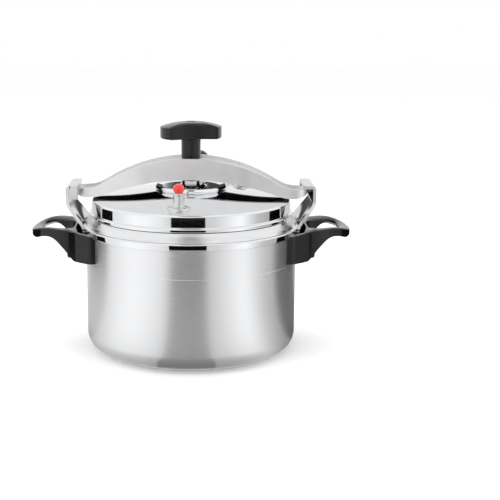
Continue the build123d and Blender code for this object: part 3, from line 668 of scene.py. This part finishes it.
class CANNER_OT_handles(bpy.types.Operator):
    """Mould the two loop handles and set their bolts"""
    bl_idname = "canner.handles"
    bl_label = "Handles"

    # heights of the top and the underside along the handle, by distance from the pot's axis
    TOP = [(100, 139.0), (118, 140.4), (132, 142.3), (146, 144.6), (158, 145.4), (168, 144.2),
           (177, 141.4), (182, 139.0)]
    BOTTOM = [(100, 107.5), (129, 107.5), (132.6, 110.2), (139.5, 119.3), (147, 127.9), (152, 132.6),
              (158, 135.4), (167, 134.6), (175, 131.7), (182, 132.6)]

    HALF = 44.0             # half width of the loop
    BASE_X = 129            # where the loop meets its base
    SEAT_R = 120.1          # radius of the pot's wall that the base lies on
    HOLE = ((133, 24), (168, 24))   # corners of the opening for the fingers, on one side
    HOLLOW = 2.0            # how much the grip's top falls towards the opening
    SCOOP = 4.5             # how much its underside rises there
    POCKET = 26.0           # depth of the pocket in the base that the hook stands in
    BOLT_Y = 24.0           # the bolts' distance from the handle's middle line

    def loop_handle(self, side):
        """One handle: a ring between two outlines, given thickness and rounded."""
        around, across = 144, 14
        tip, flare = high("handle_right").x, high("handle_right").y
        outer = [Vector((tip, 0))]
        outer += bow((tip, 0), (self.BASE_X, self.HALF), -16.2, 24)[1:]
        outer += rounded([(self.BASE_X, self.HALF, 0), (113.5, flare, 3.0), (104.5, flare, 0)], 4)[1:]
        wall = [Vector((self.SEAT_R * math.cos(a), self.SEAT_R * math.sin(a)))
                for a in (math.radians(28 - 2 * k) for k in range(29))]
        outer += wall
        outer += [Vector((p.x, -p.y)) for p in reversed(outer[1:-len(wall)])]
        (near, gap), (far, _) = self.HOLE
        inner = rounded([(far, -gap, 11), (far, gap, 11), (near, gap, 11), (near, -gap, 11)], 8, True)
        start = next(i for i, p in enumerate(inner) if p.x > far - 0.1 and p.y >= -1e-6)
        inner = [Vector((far, 0))] + inner[start:] + inner[:start]
        outs, ins = walk(outer, around), walk(inner, around)

        bm = bmesh.new()
        for radius in (1, 2):
            bmesh.ops.create_circle(bm, segments=around, radius=radius)
        bmesh.ops.bridge_loops(bm, edges=bm.edges[:])
        spokes = [e for e in bm.edges if abs(e.verts[0].co.length - e.verts[1].co.length) > 0.5]
        bmesh.ops.subdivide_edges(bm, edges=spokes, cuts=across - 1, use_grid_fill=True)
        grown = bmesh.ops.extrude_face_region(bm, geom=bm.faces[:])["geom"]
        bmesh.ops.translate(bm, verts=[g for g in grown if isinstance(g, bmesh.types.BMVert)],
                            vec=(0, 0, -1))
        for vert in bm.verts:
            flat = vert.co.to_2d()
            turn = math.atan2(flat.y, flat.x) % ROUND
            i = int(turn / ROUND * around + 1e-4) % around
            share = max(0.0, min(1.0, flat.length - 1.0))
            x, y = ins[i].lerp(outs[i], share)
            if vert.co.z > -0.5:
                crown = 1.6 * (4 * share * (1 - share)) ** 0.6 if x > 128 else 0.0
                z = between(x, self.TOP) - 1.4 + crown * ease(126, 140, x)
                z -= self.HOLLOW * (1 - share) * ease(136, 148, x)
                radius = math.hypot(x, y)
                pocket = (1 - ease(129.6, 131.0, radius)) * (1 - ease(39.0, 40.6, abs(y)))
                z -= self.POCKET * pocket
            else:
                z = between(x, self.BOTTOM) + self.SCOOP * (1 - share) * ease(136, 148, x)
            vert.co = Vector((x, y, z))

        def shown(edge):
            """Edges away from the seat on the pot, which stays sharp."""
            return min(v.co.x for v in edge.verts) > 127.5 or abs(edge.verts[0].co.y) > 41

        break_edges(bm, 2.2, math.radians(55), 4, shown)
        if side < 0:
            bmesh.ops.scale(bm, vec=(-1, 1, 1), verts=bm.verts)
            bmesh.ops.reverse_faces(bm, faces=bm.faces)
        return bm

    def bolts(self, side):
        """The two bolts of one handle, domed, each with a round socket for a driver."""
        z, reach = middle("handle_bolts_right").z, high("handle_bolts_right").x
        head = rounded([(0, reach - 22, 0), (3, reach - 22, 0), (3, reach - 6.4, 0),
                        (4.8, reach - 6.4, 0), (4.8, reach - 1.6, 1.2), (3.4, reach, 1.0),
                        (2.0, reach, 0.2), (1.8, reach - 1.8, 0.2), (0, reach - 1.8, 0)], 4)
        bm = bmesh.new()
        spin(bm, [tuple(p) for p in head], steps=36)
        bmesh.ops.rotate(bm, verts=bm.verts, matrix=Matrix.Rotation(math.pi / 2, 3, "Y"))
        bmesh.ops.translate(bm, verts=bm.verts, vec=(0, self.BOLT_Y, z))
        twin = bmesh.ops.duplicate(bm, geom=bm.verts[:] + bm.edges[:] + bm.faces[:])["geom"]
        bmesh.ops.translate(bm, verts=[g for g in twin if isinstance(g, bmesh.types.BMVert)],
                            vec=(0, -2 * self.BOLT_Y, 0))
        if side < 0:
            bmesh.ops.scale(bm, vec=(-1, 1, 1), verts=bm.verts)
            bmesh.ops.reverse_faces(bm, faces=bm.faces)
        return bm

    def execute(self, context):
        for word, side in (("right", 1), ("left", -1)):
            finish_piece("handle_" + word, self.loop_handle(side), "vessel",
                         [finish("bakelite")], ["handle_" + word])
            finish_piece("handle_bolts_" + word, self.bolts(side), "vessel",
                         [finish("bolt")], ["handle_bolts_" + word])
        return {"FINISHED"}


class CANNER_OT_bridge(bpy.types.Operator):
    """Cast the arched bridge with its two tongues, and set the bush in its middle"""
    bl_idname = "canner.bridge"
    bl_label = "Bridge"

    ARCH = 98.0                     # half length of the arched middle
    ARCH_R = 185.0                  # radius of its upper edge
    LOW_CROWN, LOW_RISE = 196.0, 17.7       # top of its lower edge, and that edge's rise
    TONGUE_DROP = 28.1              # fall of the upper edge from the crown to the arch's end
    DECK = 3.5                      # thickness of the deck between the walls

    def heights(self, x, crown):
        """Lower edge, underside of the deck, top of the deck and upper edge at a place along
        the bridge, x millimetres from its middle."""
        x = abs(x)
        if x < self.ARCH:
            upper = crown - self.ARCH_R + math.sqrt(self.ARCH_R ** 2 - x * x)
            radius = (self.ARCH ** 2 + self.LOW_RISE ** 2) / (2 * self.LOW_RISE)
            lower = self.LOW_CROWN - radius + math.sqrt(radius ** 2 - x * x)
        else:
            upper = crown - self.TONGUE_DROP
            upper += between(x, [(self.ARCH, 0), (107, -4.3), (118, -6.4), (134, -6.4)])
            lower = between(x, [(self.ARCH, 178.3), (107, 175.7), (117, 175.0), (124, 176.2),
                                (129.5, 178.9), (132.5, 182.0), (134, 185.2)])
        deck = between(x, [(0, crown - 4), (16, crown - 4), (50, 209.6), (85, 195.6), (101, 185.6),
                           (114, 179.4), (119, 178.6), (123, 178.6), (127.6, 181.4), (130.0, 185.4),
                           (134, 185.5)])
        deck = min(deck, upper - 0.02)
        under = max(lower + 0.02, deck - self.DECK)
        return lower, under, deck, upper

    def execute(self, context):
        clamp = context.scene.canner_clamp
        wall = clamp.bridge_wall / MM
        crown = high("bridge_beam").z
        end = [-134, -133.6, -133, -132, -130.8, -129.4, -128, -126.5, -125, -123, -121, -119]
        stations = end + [-117 + 2.0 * k for k in range(118)] + [-x for x in reversed(end)]

        def half(x, inset):
            """Half width of the bridge at a place along it, pulled in by inset."""
            x = abs(x)
            corner = 13 - inset
            if x > 121:
                return 5 + math.sqrt(max(0.0, corner ** 2 - (x - 121) ** 2))
            return between(x, [(0, 22), (55, 22), (80, 20.3), (112, 18.05), (121, 18)]) - inset

        bm = bmesh.new()
        section = [(-2, 0), (-2, 3), (-1, 3), (-1, 2), (1, 2), (1, 3), (2, 3), (2, 0), (1, 0), (1, 1),
                   (-1, 1), (-1, 0)]
        face = bm.faces.new([bm.verts.new((0, y, z)) for y, z in section])
        for k in range(1, len(stations)):
            grown = bmesh.ops.extrude_face_region(bm, geom=[face])["geom"]
            bmesh.ops.translate(bm, verts=[g for g in grown if isinstance(g, bmesh.types.BMVert)],
                                vec=(1, 0, 0))
            if k > 1:
                bmesh.ops.delete(bm, geom=[face], context="FACES_ONLY")
            face = next(g for g in grown if isinstance(g, bmesh.types.BMFace))
        for vert in bm.verts:
            x = stations[round(vert.co.x)]
            row, level = round(vert.co.y), round(vert.co.z)
            width = half(x, 0) if abs(row) == 2 else max(1.0, half(x, wall))
            vert.co = Vector((x, math.copysign(width, row), self.heights(x, crown)[level]))
        break_edges(bm, 1.1, math.radians(58), 3)

        def choose(centre):
            """Painted shade inside the channel under the deck; bright casting everywhere else."""
            x = centre.x
            inside = abs(centre.y) < half(x, wall) + 0.3 and abs(x) < 116
            return 1 if inside and centre.z < self.heights(x, crown)[1] + 0.5 else 0

        finish_piece("bridge_beam", bm, "bridge", [finish("cast"), finish("channel_shade")],
                     ["bridge_beam"], choose, clamp.bridge_turn)

        nut_low, nut_top = low("bridge_nut").z, high("bridge_nut").z
        nut_r = high("bridge_nut").y
        bush = rounded([(6.1, nut_low, 0), (nut_r, nut_low, 1.0), (nut_r, nut_top - 4.55, 0.6),
                        (9, nut_top - 4.55, 0), (9, nut_top, 0.5), (6.1, nut_top, 0)], 3)
        bm = bmesh.new()
        spin(bm, [tuple(p) for p in bush], steps=SMALL_STEPS, closed=True)
        finish_piece("bridge_nut", bm, "bridge", [finish("steel")], ["bridge_nut"])
        return {"FINISHED"}


class CANNER_OT_knob(bpy.types.Operator):
    """Mould the wing knob with its stem, and make the clamp screw and its foot"""
    bl_idname = "canner.knob"
    bl_label = "Knob, screw and foot"

    END_FALL, END_HALF = 8.0, 20.0          # the wings' ends fall back this much, this far aside
    SIDE_RISE, SIDE_REACH = 5.5, 27.0       # the sides swell this much, this far from the waist
    WAIST = 14.5                            # half width at the waist
    EYE = 4.9                               # radius of the recess that the cap sits in
    CORNER = 3.5                            # how far the sides and the ends run into each other
    FAR = 1e3                               # stands for a side that a line never meets

    def wing_radius(self, angle, wing):
        """Distance from the middle to the knob's waisted outline, at an angle to its wings.
        The ends and the sides are parabolas, and the nearer one counts."""
        c, s = abs(math.cos(angle)), abs(math.sin(angle))
        b = self.END_FALL * s * s / self.END_HALF ** 2
        end = (-c + math.sqrt(c * c + 4 * b * wing)) / (2 * b) if b > 1e-6 else wing / c
        a = self.SIDE_RISE * c * c / self.SIDE_REACH ** 2
        inside = s * s - 4 * a * self.WAIST
        if inside <= 0 or s < 0.05:
            side = self.FAR
        elif a > 1e-6:
            side = (s - math.sqrt(inside)) / (2 * a)
        else:
            side = self.WAIST / s
        h = max(0.0, min(1.0, 0.5 + 0.5 * (side - end) / self.CORNER))
        return side * (1 - h) + end * h - self.CORNER * h * (1 - h)

    def execute(self, context):
        top, bottom = high("knob_grip").z, low("knob_grip").z
        wing = 34.9
        ledge = top - 18.8
        stem = 11.0
        profile = rounded([(6.1, bottom, 0), (stem - 0.2, bottom, 0.8), (stem, ledge, 2.6),
                           (wing, ledge, 2.2), (wing, top - 5.6, 2.8)], 6)
        crown = [(wing * k / 12, top - 5.4 * (k / 12) ** 2.2 - 0.05) for k in range(11, 1, -1)]
        seat = [(self.EYE, top - 0.2), (4.7, top - 0.6), (4.6, top - 1.9), (0, top - 1.9)]
        bm = bmesh.new()
        spin(bm, [tuple(p) for p in profile] + crown + seat, steps=144)
        for vert in bm.verts:
            radius = math.hypot(vert.co.x, vert.co.y)
            if vert.co.z < ledge - 3 or radius < 11.2:
                continue
            angle = math.atan2(vert.co.y, vert.co.x)
            share = (radius - self.EYE) / (wing - self.EYE)
            if vert.co.z < ledge + 1.5:
                share = ease(11.2, wing, radius)
            grow = 1 + (self.wing_radius(angle, wing) / wing - 1) * share
            vert.co.x *= grow
            vert.co.y *= grow
        finish_piece("knob_grip", bm, "knob", [finish("bakelite")], ["knob_grip"],
                     turn=context.scene.canner_clamp.knob_turn)

        cap = rounded([(0, top - 1.9, 0), (4.5, top - 1.9, 0), (4.5, top - 0.7, 0.5),
                       (0, top - 0.35, 0)], 4)
        bm = bmesh.new()
        spin(bm, [tuple(p) for p in cap], steps=SMALL_STEPS)
        finish_piece("knob_cap", bm, "knob", [finish("bolt")], ["knob_cap"])

        tip, head = low("clamp_screw").z, high("clamp_screw").z
        pitch, turns = 3.0, 8
        core = rounded([(0, tip, 0), (5, tip, 0.5), (5, tip + 2.5, 0.4), (4, tip + 2.5, 0),
                        (4, tip + 6.4, 0), (5.2, tip + 6.4, 0.3), (5.2, head, 0.5), (0, head, 0)], 3)
        bm = bmesh.new()
        spin(bm, [tuple(p) for p in core], steps=48)
        ridge = [(5.0, -1.3), (5.9, -0.35), (5.9, 0.35), (5.0, 1.3)]
        first = [bm.verts.new((r, 0, tip + 8.2 + z)) for r, z in ridge]
        line = [bm.edges.new((first[k - 1], first[k])) for k in range(len(first))]
        steps = 40
        bmesh.ops.spin(bm, geom=first + line, cent=(0, 0, 0), axis=(0, 0, 1), angle=ROUND * turns,
                       steps=steps * turns, dvec=(0, 0, pitch / steps))
        ends = [e for e in bm.edges if e.is_boundary]
        bmesh.ops.holes_fill(bm, edges=ends, sides=4)
        finish_piece("clamp_screw", bm, "knob", [finish("steel")], ["clamp_screw"])

        base, rim = low("screw_foot").z, high("screw_foot").z
        pad = rounded([(0, base, 0), (11, base, 1.2), (11, rim, 0.8), (9, rim, 0), (9, rim - 1.6, 0),
                       (5.3, rim - 1.6, 0), (5.3, rim - 4.7, 0), (0, rim - 4.7, 0)], 4)
        bm = bmesh.new()
        spin(bm, [tuple(p) for p in pad], steps=SMALL_STEPS)
        finish_piece("screw_foot", bm, "screw_foot", [finish("steel")],
                     ["screw_foot"])
        return {"FINISHED"}


def on_cone(at):
    """Height of the lid's cone under a place on it."""
    disc_r, top = high("pressure_disc").x, high("lid_shell").z
    return top - (math.hypot(*at) - disc_r) * CONE_DROP / (CONE_FOOT_R - disc_r)


class CANNER_OT_indicator(bpy.types.Operator):
    """Make the lock indicator: its polished housing and red head"""
    bl_idname = "canner.indicator"
    bl_label = "Lock indicator"

    def execute(self, context):
        at = middle("indicator_pin").to_2d()
        seat, top = on_cone(at), high("indicator_housing").z
        foot = low("indicator_housing").z
        housing = rounded([(3.05, foot, 0), (6.5, foot, 0.4), (6.5, seat - 2.8, 0),
                           (12.3, seat - 2.4, 0), (12.3, seat + 3.0, 1.4),
                           (9.2, seat + 3.6, 1.0), (6.2, seat + 4.0, 0.9),
                           (6.2, top - 3.4, 0.3), (5.7, top - 3.0, 0.2), (5.7, top - 2.2, 0.2),
                           (6.2, top - 1.8, 0.3), (6.2, top, 0.8), (3.05, top, 0.3)], 4)
        bm = bmesh.new()
        spin(bm, [tuple(p) for p in housing], at, SMALL_STEPS, closed=True)
        finish_piece("indicator_housing", bm, "vessel", [finish("steel")],
                     ["indicator_housing"])

        base, peak = low("indicator_head").z, high("indicator_head").z
        ball = 5.8
        knob = rounded([(2.96, base, 0), (4.6, base, 0.6), (ball - 0.1, base + 2.2, 0)], 4)
        knob += bow((ball, base + 3.0), (0, peak), -2.35, 12)
        bm = bmesh.new()
        spin(bm, [tuple(p) for p in knob], at, SMALL_STEPS)
        finish_piece("indicator_head", bm, "indicator", [finish("red")],
                     ["indicator_head"])
        return {"FINISHED"}


class CANNER_OT_weight(bpy.types.Operator):
    """Make the vent pipe with its nut, and the capped weight on it"""
    bl_idname = "canner.weight"
    bl_label = "Vent pipe and weight"

    FLUTES = 16             # round the cap
    FLUTE_DEPTH = 0.035     # share of the cap's radius

    def execute(self, context):
        at = middle("vent_pipe").to_2d()
        seat = on_cone(at)
        foot, top = low("vent_pipe").z, high("vent_pipe").z
        pipe = rounded([(1.4, foot, 0), (5, foot, 0.4), (5, seat + 5.5, 0), (3.5, seat + 5.5, 0.4),
                        (3.5, top - 1.4, 0.3), (2.4, top, 0.3), (1.4, top, 0)], 3)
        bm = bmesh.new()
        spin(bm, [tuple(p) for p in pipe], at, SMALL_STEPS, closed=True)
        finish_piece("vent_pipe", bm, "vessel", [finish("steel")], ["vent_pipe"])

        bm = bmesh.new()
        prism(bm, 6, 9.0, seat + 2.0, seat + 7.0, at, 0.5)
        finish_piece("vent_nut", bm, "vessel", [finish("steel")], ["vent_nut"])

        base, crown = low("regulator_weight").z, high("regulator_weight").z
        mass = rounded([(3.95, base, 0), (10.4, base, 1.2), (10.4, base + 4, 0.2),
                        (9.9, base + 4.5, 0.2), (9.9, base + 5.3, 0.2), (10.4, base + 5.8, 0.2),
                        (10.4, crown, 0.5), (0, crown, 0), (0, top + 0.6, 0),
                        (3.95, top + 0.6, 0.4)], 3)
        bm = bmesh.new()
        spin(bm, [tuple(p) for p in mass], at, SMALL_STEPS, closed=True)
        finish_piece("regulator_weight", bm, "weight", [finish("steel")],
                     ["regulator_weight"])

        rim, peak = low("regulator_cap").z, high("regulator_cap").z
        cap = rounded([(10.5, rim + 0.2, 0), (13, rim, 1.0), (12.9, peak - 9, 0.4), (12.9, peak, 8.4),
                       (0, peak, 0), (0, peak - 3, 0), (10.5, peak - 6, 2)], 8)
        bm = bmesh.new()
        spin(bm, [tuple(p) for p in cap], at, 96, closed=True)
        for vert in bm.verts:
            offset = vert.co.to_2d() - Vector(at)
            if offset.length > 12 and vert.co.z < peak - 8:
                wave = math.cos(self.FLUTES * math.atan2(offset.y, offset.x))
                flute = 1 - self.FLUTE_DEPTH * (0.5 + 0.5 * wave) ** 3
                vert.co.x, vert.co.y = Vector(at) + offset * flute
        finish_piece("regulator_cap", bm, "weight", [finish("bakelite")],
                     ["regulator_cap"])
        return {"FINISHED"}


class CANNER_OT_safety_valve(bpy.types.Operator):
    """Make the over-pressure valve behind the bridge and its plug"""
    bl_idname = "canner.safety_valve"
    bl_label = "Safety valve"

    def execute(self, context):
        at = middle("safety_plug").to_2d()
        seat, foot = on_cone(at), low("safety_valve_body").z
        top = high("safety_valve_body").z
        shell = rounded([(4.5, foot, 0), (7, foot, 0.4), (7, seat - 2.6, 0), (12, seat - 2.2, 0),
                         (12, seat + 3, 1.2), (8.6, seat + 3.2, 0.8), (8.4, top, 2.2),
                         (4.5, top, 0)], 4)
        bm = bmesh.new()
        spin(bm, [tuple(p) for p in shell], at, SMALL_STEPS, closed=True)
        finish_piece("safety_valve_body", bm, "vessel", [finish("steel")],
                     ["safety_valve_body"])
        base, peak = low("safety_plug").z, high("safety_plug").z
        plug = rounded([(0, base, 0), (4.5, base, 0.6), (4.5, peak - 2.5, 0), (6, peak - 2.4, 0.4),
                        (5.9, peak, 2.0), (0, peak, 0)], 5)
        bm = bmesh.new()
        spin(bm, [tuple(p) for p in plug], at, SMALL_STEPS)
        finish_piece("safety_plug", bm, "vessel", [finish("silicone")], ["safety_plug"])
        return {"FINISHED"}


class CANNER_OT_kept_pieces(bpy.types.Operator):
    """Give the pieces that keep their frame shape their finishes"""
    bl_idname = "canner.kept_pieces"
    bl_label = "Finishes of the kept pieces"

    KEPT = {
        "lid_gasket": "silicone", "indicator_seal": "silicone",
        "disc_rivets": "polished", "mount_lug_left": "satin", "mount_lug_right": "satin",
        "hook_rivets_left": "hook", "hook_rivets_right": "hook",
        "vent_washer": "steel", "vent_screen": "steel", "indicator_nut": "steel",
        "indicator_pin": "steel", "safety_valve_nut": "steel", "foot_clip": "steel",
    }

    def execute(self, context):
        for node, name in self.KEPT.items():
            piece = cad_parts[node]
            piece.data.materials.clear()
            piece.data.materials.append(finish(name))
        return {"FINISHED"}


# ------------------------------------------------------------------ studio
class CANNER_OT_studio(bpy.types.Operator):
    """Set up the pale floor, the surround, the soft lights, the sky and the camera"""
    bl_idname = "canner.studio"
    bl_label = "Studio"

    # brightness of the painted reflections on the surround by azimuth: 0 straight in front, degrees
    # towards the right
    PLAIN = ((-180, 0.60), (-150, 0.85), (-107, 0.80), (-81, 0.92), (-59, 1.12), (-45, 1.08),
             (-30, 0.95), (-18, 0.74), (0, 0.70), (14, 0.70), (24, 0.76), (34, 0.92), (44, 1.08),
             (52, 1.12), (62, 0.86), (72, 0.60), (84, 0.50), (97, 0.45), (130, 0.50), (180, 0.60))
    # the same above the flags, with a dark strip straight behind
    UPPER = ((-180, 0.06), (-176, 0.06), (-175, 0.9), (-90, 0.95), (-25, 1.0), (-13, 0.9),
             (-4, 0.82), (5, 0.68), (14, 0.58), (26, 0.7), (45, 0.95), (90, 0.95), (172.5, 0.9),
             (173.5, 0.06), (180, 0.06))
    # dark flags: from azimuth, to azimuth, share of the light left on the floor before them
    FLAGS = ((-135, -90, 0.75), (-21, 14, 0.55), (90, 135, 0.30), (160, 180, 0.75))
    FLAG_LIGHT = 0.004              # brightness of the flags themselves
    FLAG_FOOT = (0.022, 0.030)      # heights between which the floor gives way to the flags
    FLAG_TOP = 0.110
    NEAR = (0.118, 0.20)            # radii between which the pot's shade on the surround ends
    SHADE = 0.50                    # brightness of the painted shade on the surround at the base
    TRAY = ((0.112, 0.0012, 0), (0.46, 0.0012, 0.04), (0.50, 0.30, 0))   # radius, height, corner
    FLOOR_GLOW = 0.10
    # soft lights: name, place, size, power in watts
    LAMPS = (("top_light", (0.0, 0.1, 1.6), (1.6, 1.6), 12.0),
             ("left_light", (-1.3, -0.8, 0.9), (1.0, 1.2), 5.0),
             ("right_light", (1.4, -0.6, 0.8), (0.8, 1.2), 3.0))
    GAP = 0.22                      # brightness of the soft gap in the sky, overhead in front

    def show(self, name, data):
        """An object of the scene that holds a mesh, a light or a camera."""
        made = bpy.data.objects.new(name, data)
        bpy.context.scene.collection.objects.link(made)
        return made

    def mesh_of(self, name, bm, cover):
        """A mesh with one finish, made from a finished shape."""
        mesh = bpy.data.meshes.new(name)
        bm.to_mesh(mesh)
        bm.free()
        mesh.materials.append(cover)
        return mesh

    def floor(self, colour):
        """A matt pale floor with a faint glow."""
        f = Finish("studio_floor", colour, 0.0, 0.6, Specular_IOR_Level=0.2,
                   Emission_Color=(1, 1, 1, 1), Emission_Strength=self.FLOOR_GLOW)
        where, _ = f.place()
        f.mottle(f.noise(where, 3.0), 0.99, colour)
        bm = bmesh.new()
        bmesh.ops.create_grid(bm, x_segments=1, y_segments=1, size=6.0)
        self.show("floor", self.mesh_of("floor", bm, f.material))

    def ramp_of(self, f, angle, table, constant=False):
        """Brightness by azimuth, from a table."""
        node = f.tree.nodes.new("ShaderNodeValToRGB")
        node.color_ramp.interpolation = "CONSTANT" if constant else "LINEAR"
        f.feed(node.inputs[0], angle)
        stops = node.color_ramp.elements
        for i, (azimuth, value) in enumerate(table):
            stop = stops[i] if i < 2 else stops.new(azimuth / 360 + 0.5)
            stop.position = azimuth / 360 + 0.5
            stop.color = (value, value, value, 1)
        return node.outputs[0]

    def surround(self):
        """A shallow tray round the pot that glows and that only reflections see, so it paints the
        reflections: bright sides that change with azimuth, dark flags, and painted shade of the pot on
        the floor close to the base."""
        f = Finish("painted_reflection_tray", (0, 0, 0), 0.0, 1.0, Specular_IOR_Level=0.0, Emission_Strength=1.0)
        _, xyz = f.place()
        turn = f.math("ARCTAN2", xyz[0], f.math("MULTIPLY", xyz[1], -1.0))
        angle = f.math("ADD", f.math("DIVIDE", turn, ROUND), 0.5)
        plain = self.ramp_of(f, angle, self.PLAIN)
        dark, dim = [(-180, 1.0)], [(-180, 1.0)]
        for start, end, left in self.FLAGS:
            dark += [(start, self.FLAG_LIGHT), (end, 1.0)]
            dim += [(start, left), (end, 1.0)]
        raised = f.ramp(xyz[2], *self.FLAG_FOOT, 0.0, 1.0)
        flags = f.math("ADD", f.math("MULTIPLY", self.ramp_of(f, angle, dark, True), raised),
                       f.math("MULTIPLY", self.ramp_of(f, angle, dim, True),
                              f.math("SUBTRACT", 1.0, raised)))
        above = f.math("GREATER_THAN", xyz[2], self.FLAG_TOP)
        upper = f.math("MULTIPLY", self.ramp_of(f, angle, self.UPPER), above)
        radius = f.math("SQRT", f.math("ADD", f.math("POWER", xyz[0], 2.0),
                                       f.math("POWER", xyz[1], 2.0)))
        # painted shade of the pot on the floor close to its base, seen only in reflections
        shade = f.ramp(radius, *self.NEAR, self.SHADE, 1.0)
        below = f.math("MULTIPLY", f.math("MULTIPLY", plain, flags), f.math("SUBTRACT", 1.0, above))
        light = f.math("MULTIPLY", f.math("ADD", below, upper), shade)
        f.feed(f.shader.inputs["Emission Color"], light)
        bm = bmesh.new()
        spin(bm, [tuple(point) for point in rounded(self.TRAY, 8)])
        tray = self.show("surround", self.mesh_of("surround", bm, f.material))
        tray.visible_camera = False
        tray.visible_diffuse = False
        tray.visible_shadow = False

    def lamp(self, name, place, size, power):
        """A large soft area light that looks at the object and shows in no reflection."""
        light = bpy.data.lights.new(name, "AREA")
        light.shape = "RECTANGLE"
        light.size, light.size_y = size
        light.energy = power
        lamp = self.show(name, light)
        lamp.visible_glossy = False
        lamp.location = place
        towards = Vector((0, 0, 0.1)) - Vector(place)
        lamp.rotation_euler = towards.to_track_quat("-Z", "Y").to_euler()

    def sky(self, brightness):
        """A white world with a soft darker gap high up in front."""
        world = bpy.data.worlds.new("studio")
        world.use_nodes = True
        nodes, links = world.node_tree.nodes, world.node_tree.links
        towards = nodes.new("ShaderNodeSeparateXYZ")
        links.new(nodes.new("ShaderNodeTexCoord").outputs["Generated"], towards.inputs[0])
        x, y, z = towards.outputs

        def soft(value, start, end, low_value, high_value):
            """Value mapped from one range to another."""
            step = nodes.new("ShaderNodeMapRange")
            links.new(value, step.inputs["Value"])
            for socket, number in zip(step.inputs[1:5], (start, end, low_value, high_value)):
                socket.default_value = number
            return step.outputs[0]

        def product(first, second):
            """Product of two values."""
            step = nodes.new("ShaderNodeMath")
            step.operation = "MULTIPLY"
            links.new(first, step.inputs[0])
            links.new(second, step.inputs[1])
            return step.outputs[0]

        aside = nodes.new("ShaderNodeMath")
        aside.operation = "ABSOLUTE"
        links.new(x, aside.inputs[0])
        gap = product(soft(aside.outputs[0], 0.10, 0.20, 1.0, 0.0), soft(y, -0.1, 0.0, 1.0, 0.0))
        gap = product(gap, soft(z, 0.62, 0.72, 0.0, 1.0))
        backdrop = nodes["Background"]
        links.new(soft(gap, 0.0, 1.0, 1.0, self.GAP), backdrop.inputs[0])
        backdrop.inputs[1].default_value = brightness
        bpy.context.scene.world = world

    def camera(self, studio):
        """The camera, in front of the pot and a little above it."""
        camera = self.show("camera", bpy.data.cameras.new("camera"))
        camera.location = (0, -studio.distance, studio.height)
        camera.rotation_euler = (math.pi / 2 - studio.pitch, 0, 0)
        camera.data.lens = studio.lens
        camera.data.sensor_width = 36.0
        camera.data.shift_x = studio.aside
        bpy.context.scene.camera = camera

    def execute(self, context):
        studio = context.scene.canner_studio
        self.floor(context.scene.canner_colours.floor)
        self.surround()
        for lamp in self.LAMPS:
            self.lamp(*lamp)
        self.sky(studio.surround)
        self.camera(studio)
        context.scene.view_settings.view_transform = "Standard"
        return {"FINISHED"}


class CANNER_PT_pieces(bpy.types.Panel):
    """Buttons and sizes of the pressure canner"""
    bl_label = "Pressure canner"
    bl_idname = "CANNER_PT_pieces"
    bl_space_type = "VIEW_3D"
    bl_region_type = "UI"
    bl_category = "Canner"

    def draw(self, context):
        for piece in STEPS:
            self.layout.operator(piece.bl_idname)
        for group in GROUPS:
            box = self.layout.box()
            settings = getattr(context.scene, group)
            for name in settings.__annotations__:
                box.prop(settings, name)


STEPS = (CANNER_OT_pot, CANNER_OT_lid, CANNER_OT_hooks, CANNER_OT_handles, CANNER_OT_bridge,
         CANNER_OT_knob, CANNER_OT_indicator, CANNER_OT_weight, CANNER_OT_safety_valve,
         CANNER_OT_kept_pieces, CANNER_OT_studio)
GROUPS = {"canner_vessel": VesselSizes, "canner_clamp": ClampSizes, "canner_colours": Colours,
          "canner_studio": StudioSizes}


def register():
    """Make the settings, the operators and the panel known."""
    for cls in (*GROUPS.values(), *STEPS, CANNER_PT_pieces):
        bpy.utils.register_class(cls)
    for name, cls in GROUPS.items():
        setattr(bpy.types.Scene, name, PointerProperty(type=cls))


def unregister():
    """Take them away again."""
    for name in GROUPS:
        delattr(bpy.types.Scene, name)
    for cls in (CANNER_PT_pieces, *reversed(STEPS), *reversed(GROUPS.values())):
        bpy.utils.unregister_class(cls)


def main():
    """Build every piece and the studio."""
    register()
    for piece in STEPS:
        group, name = piece.bl_idname.split(".")
        getattr(getattr(bpy.ops, group), name)()


if __name__ == "__main__":
    main()
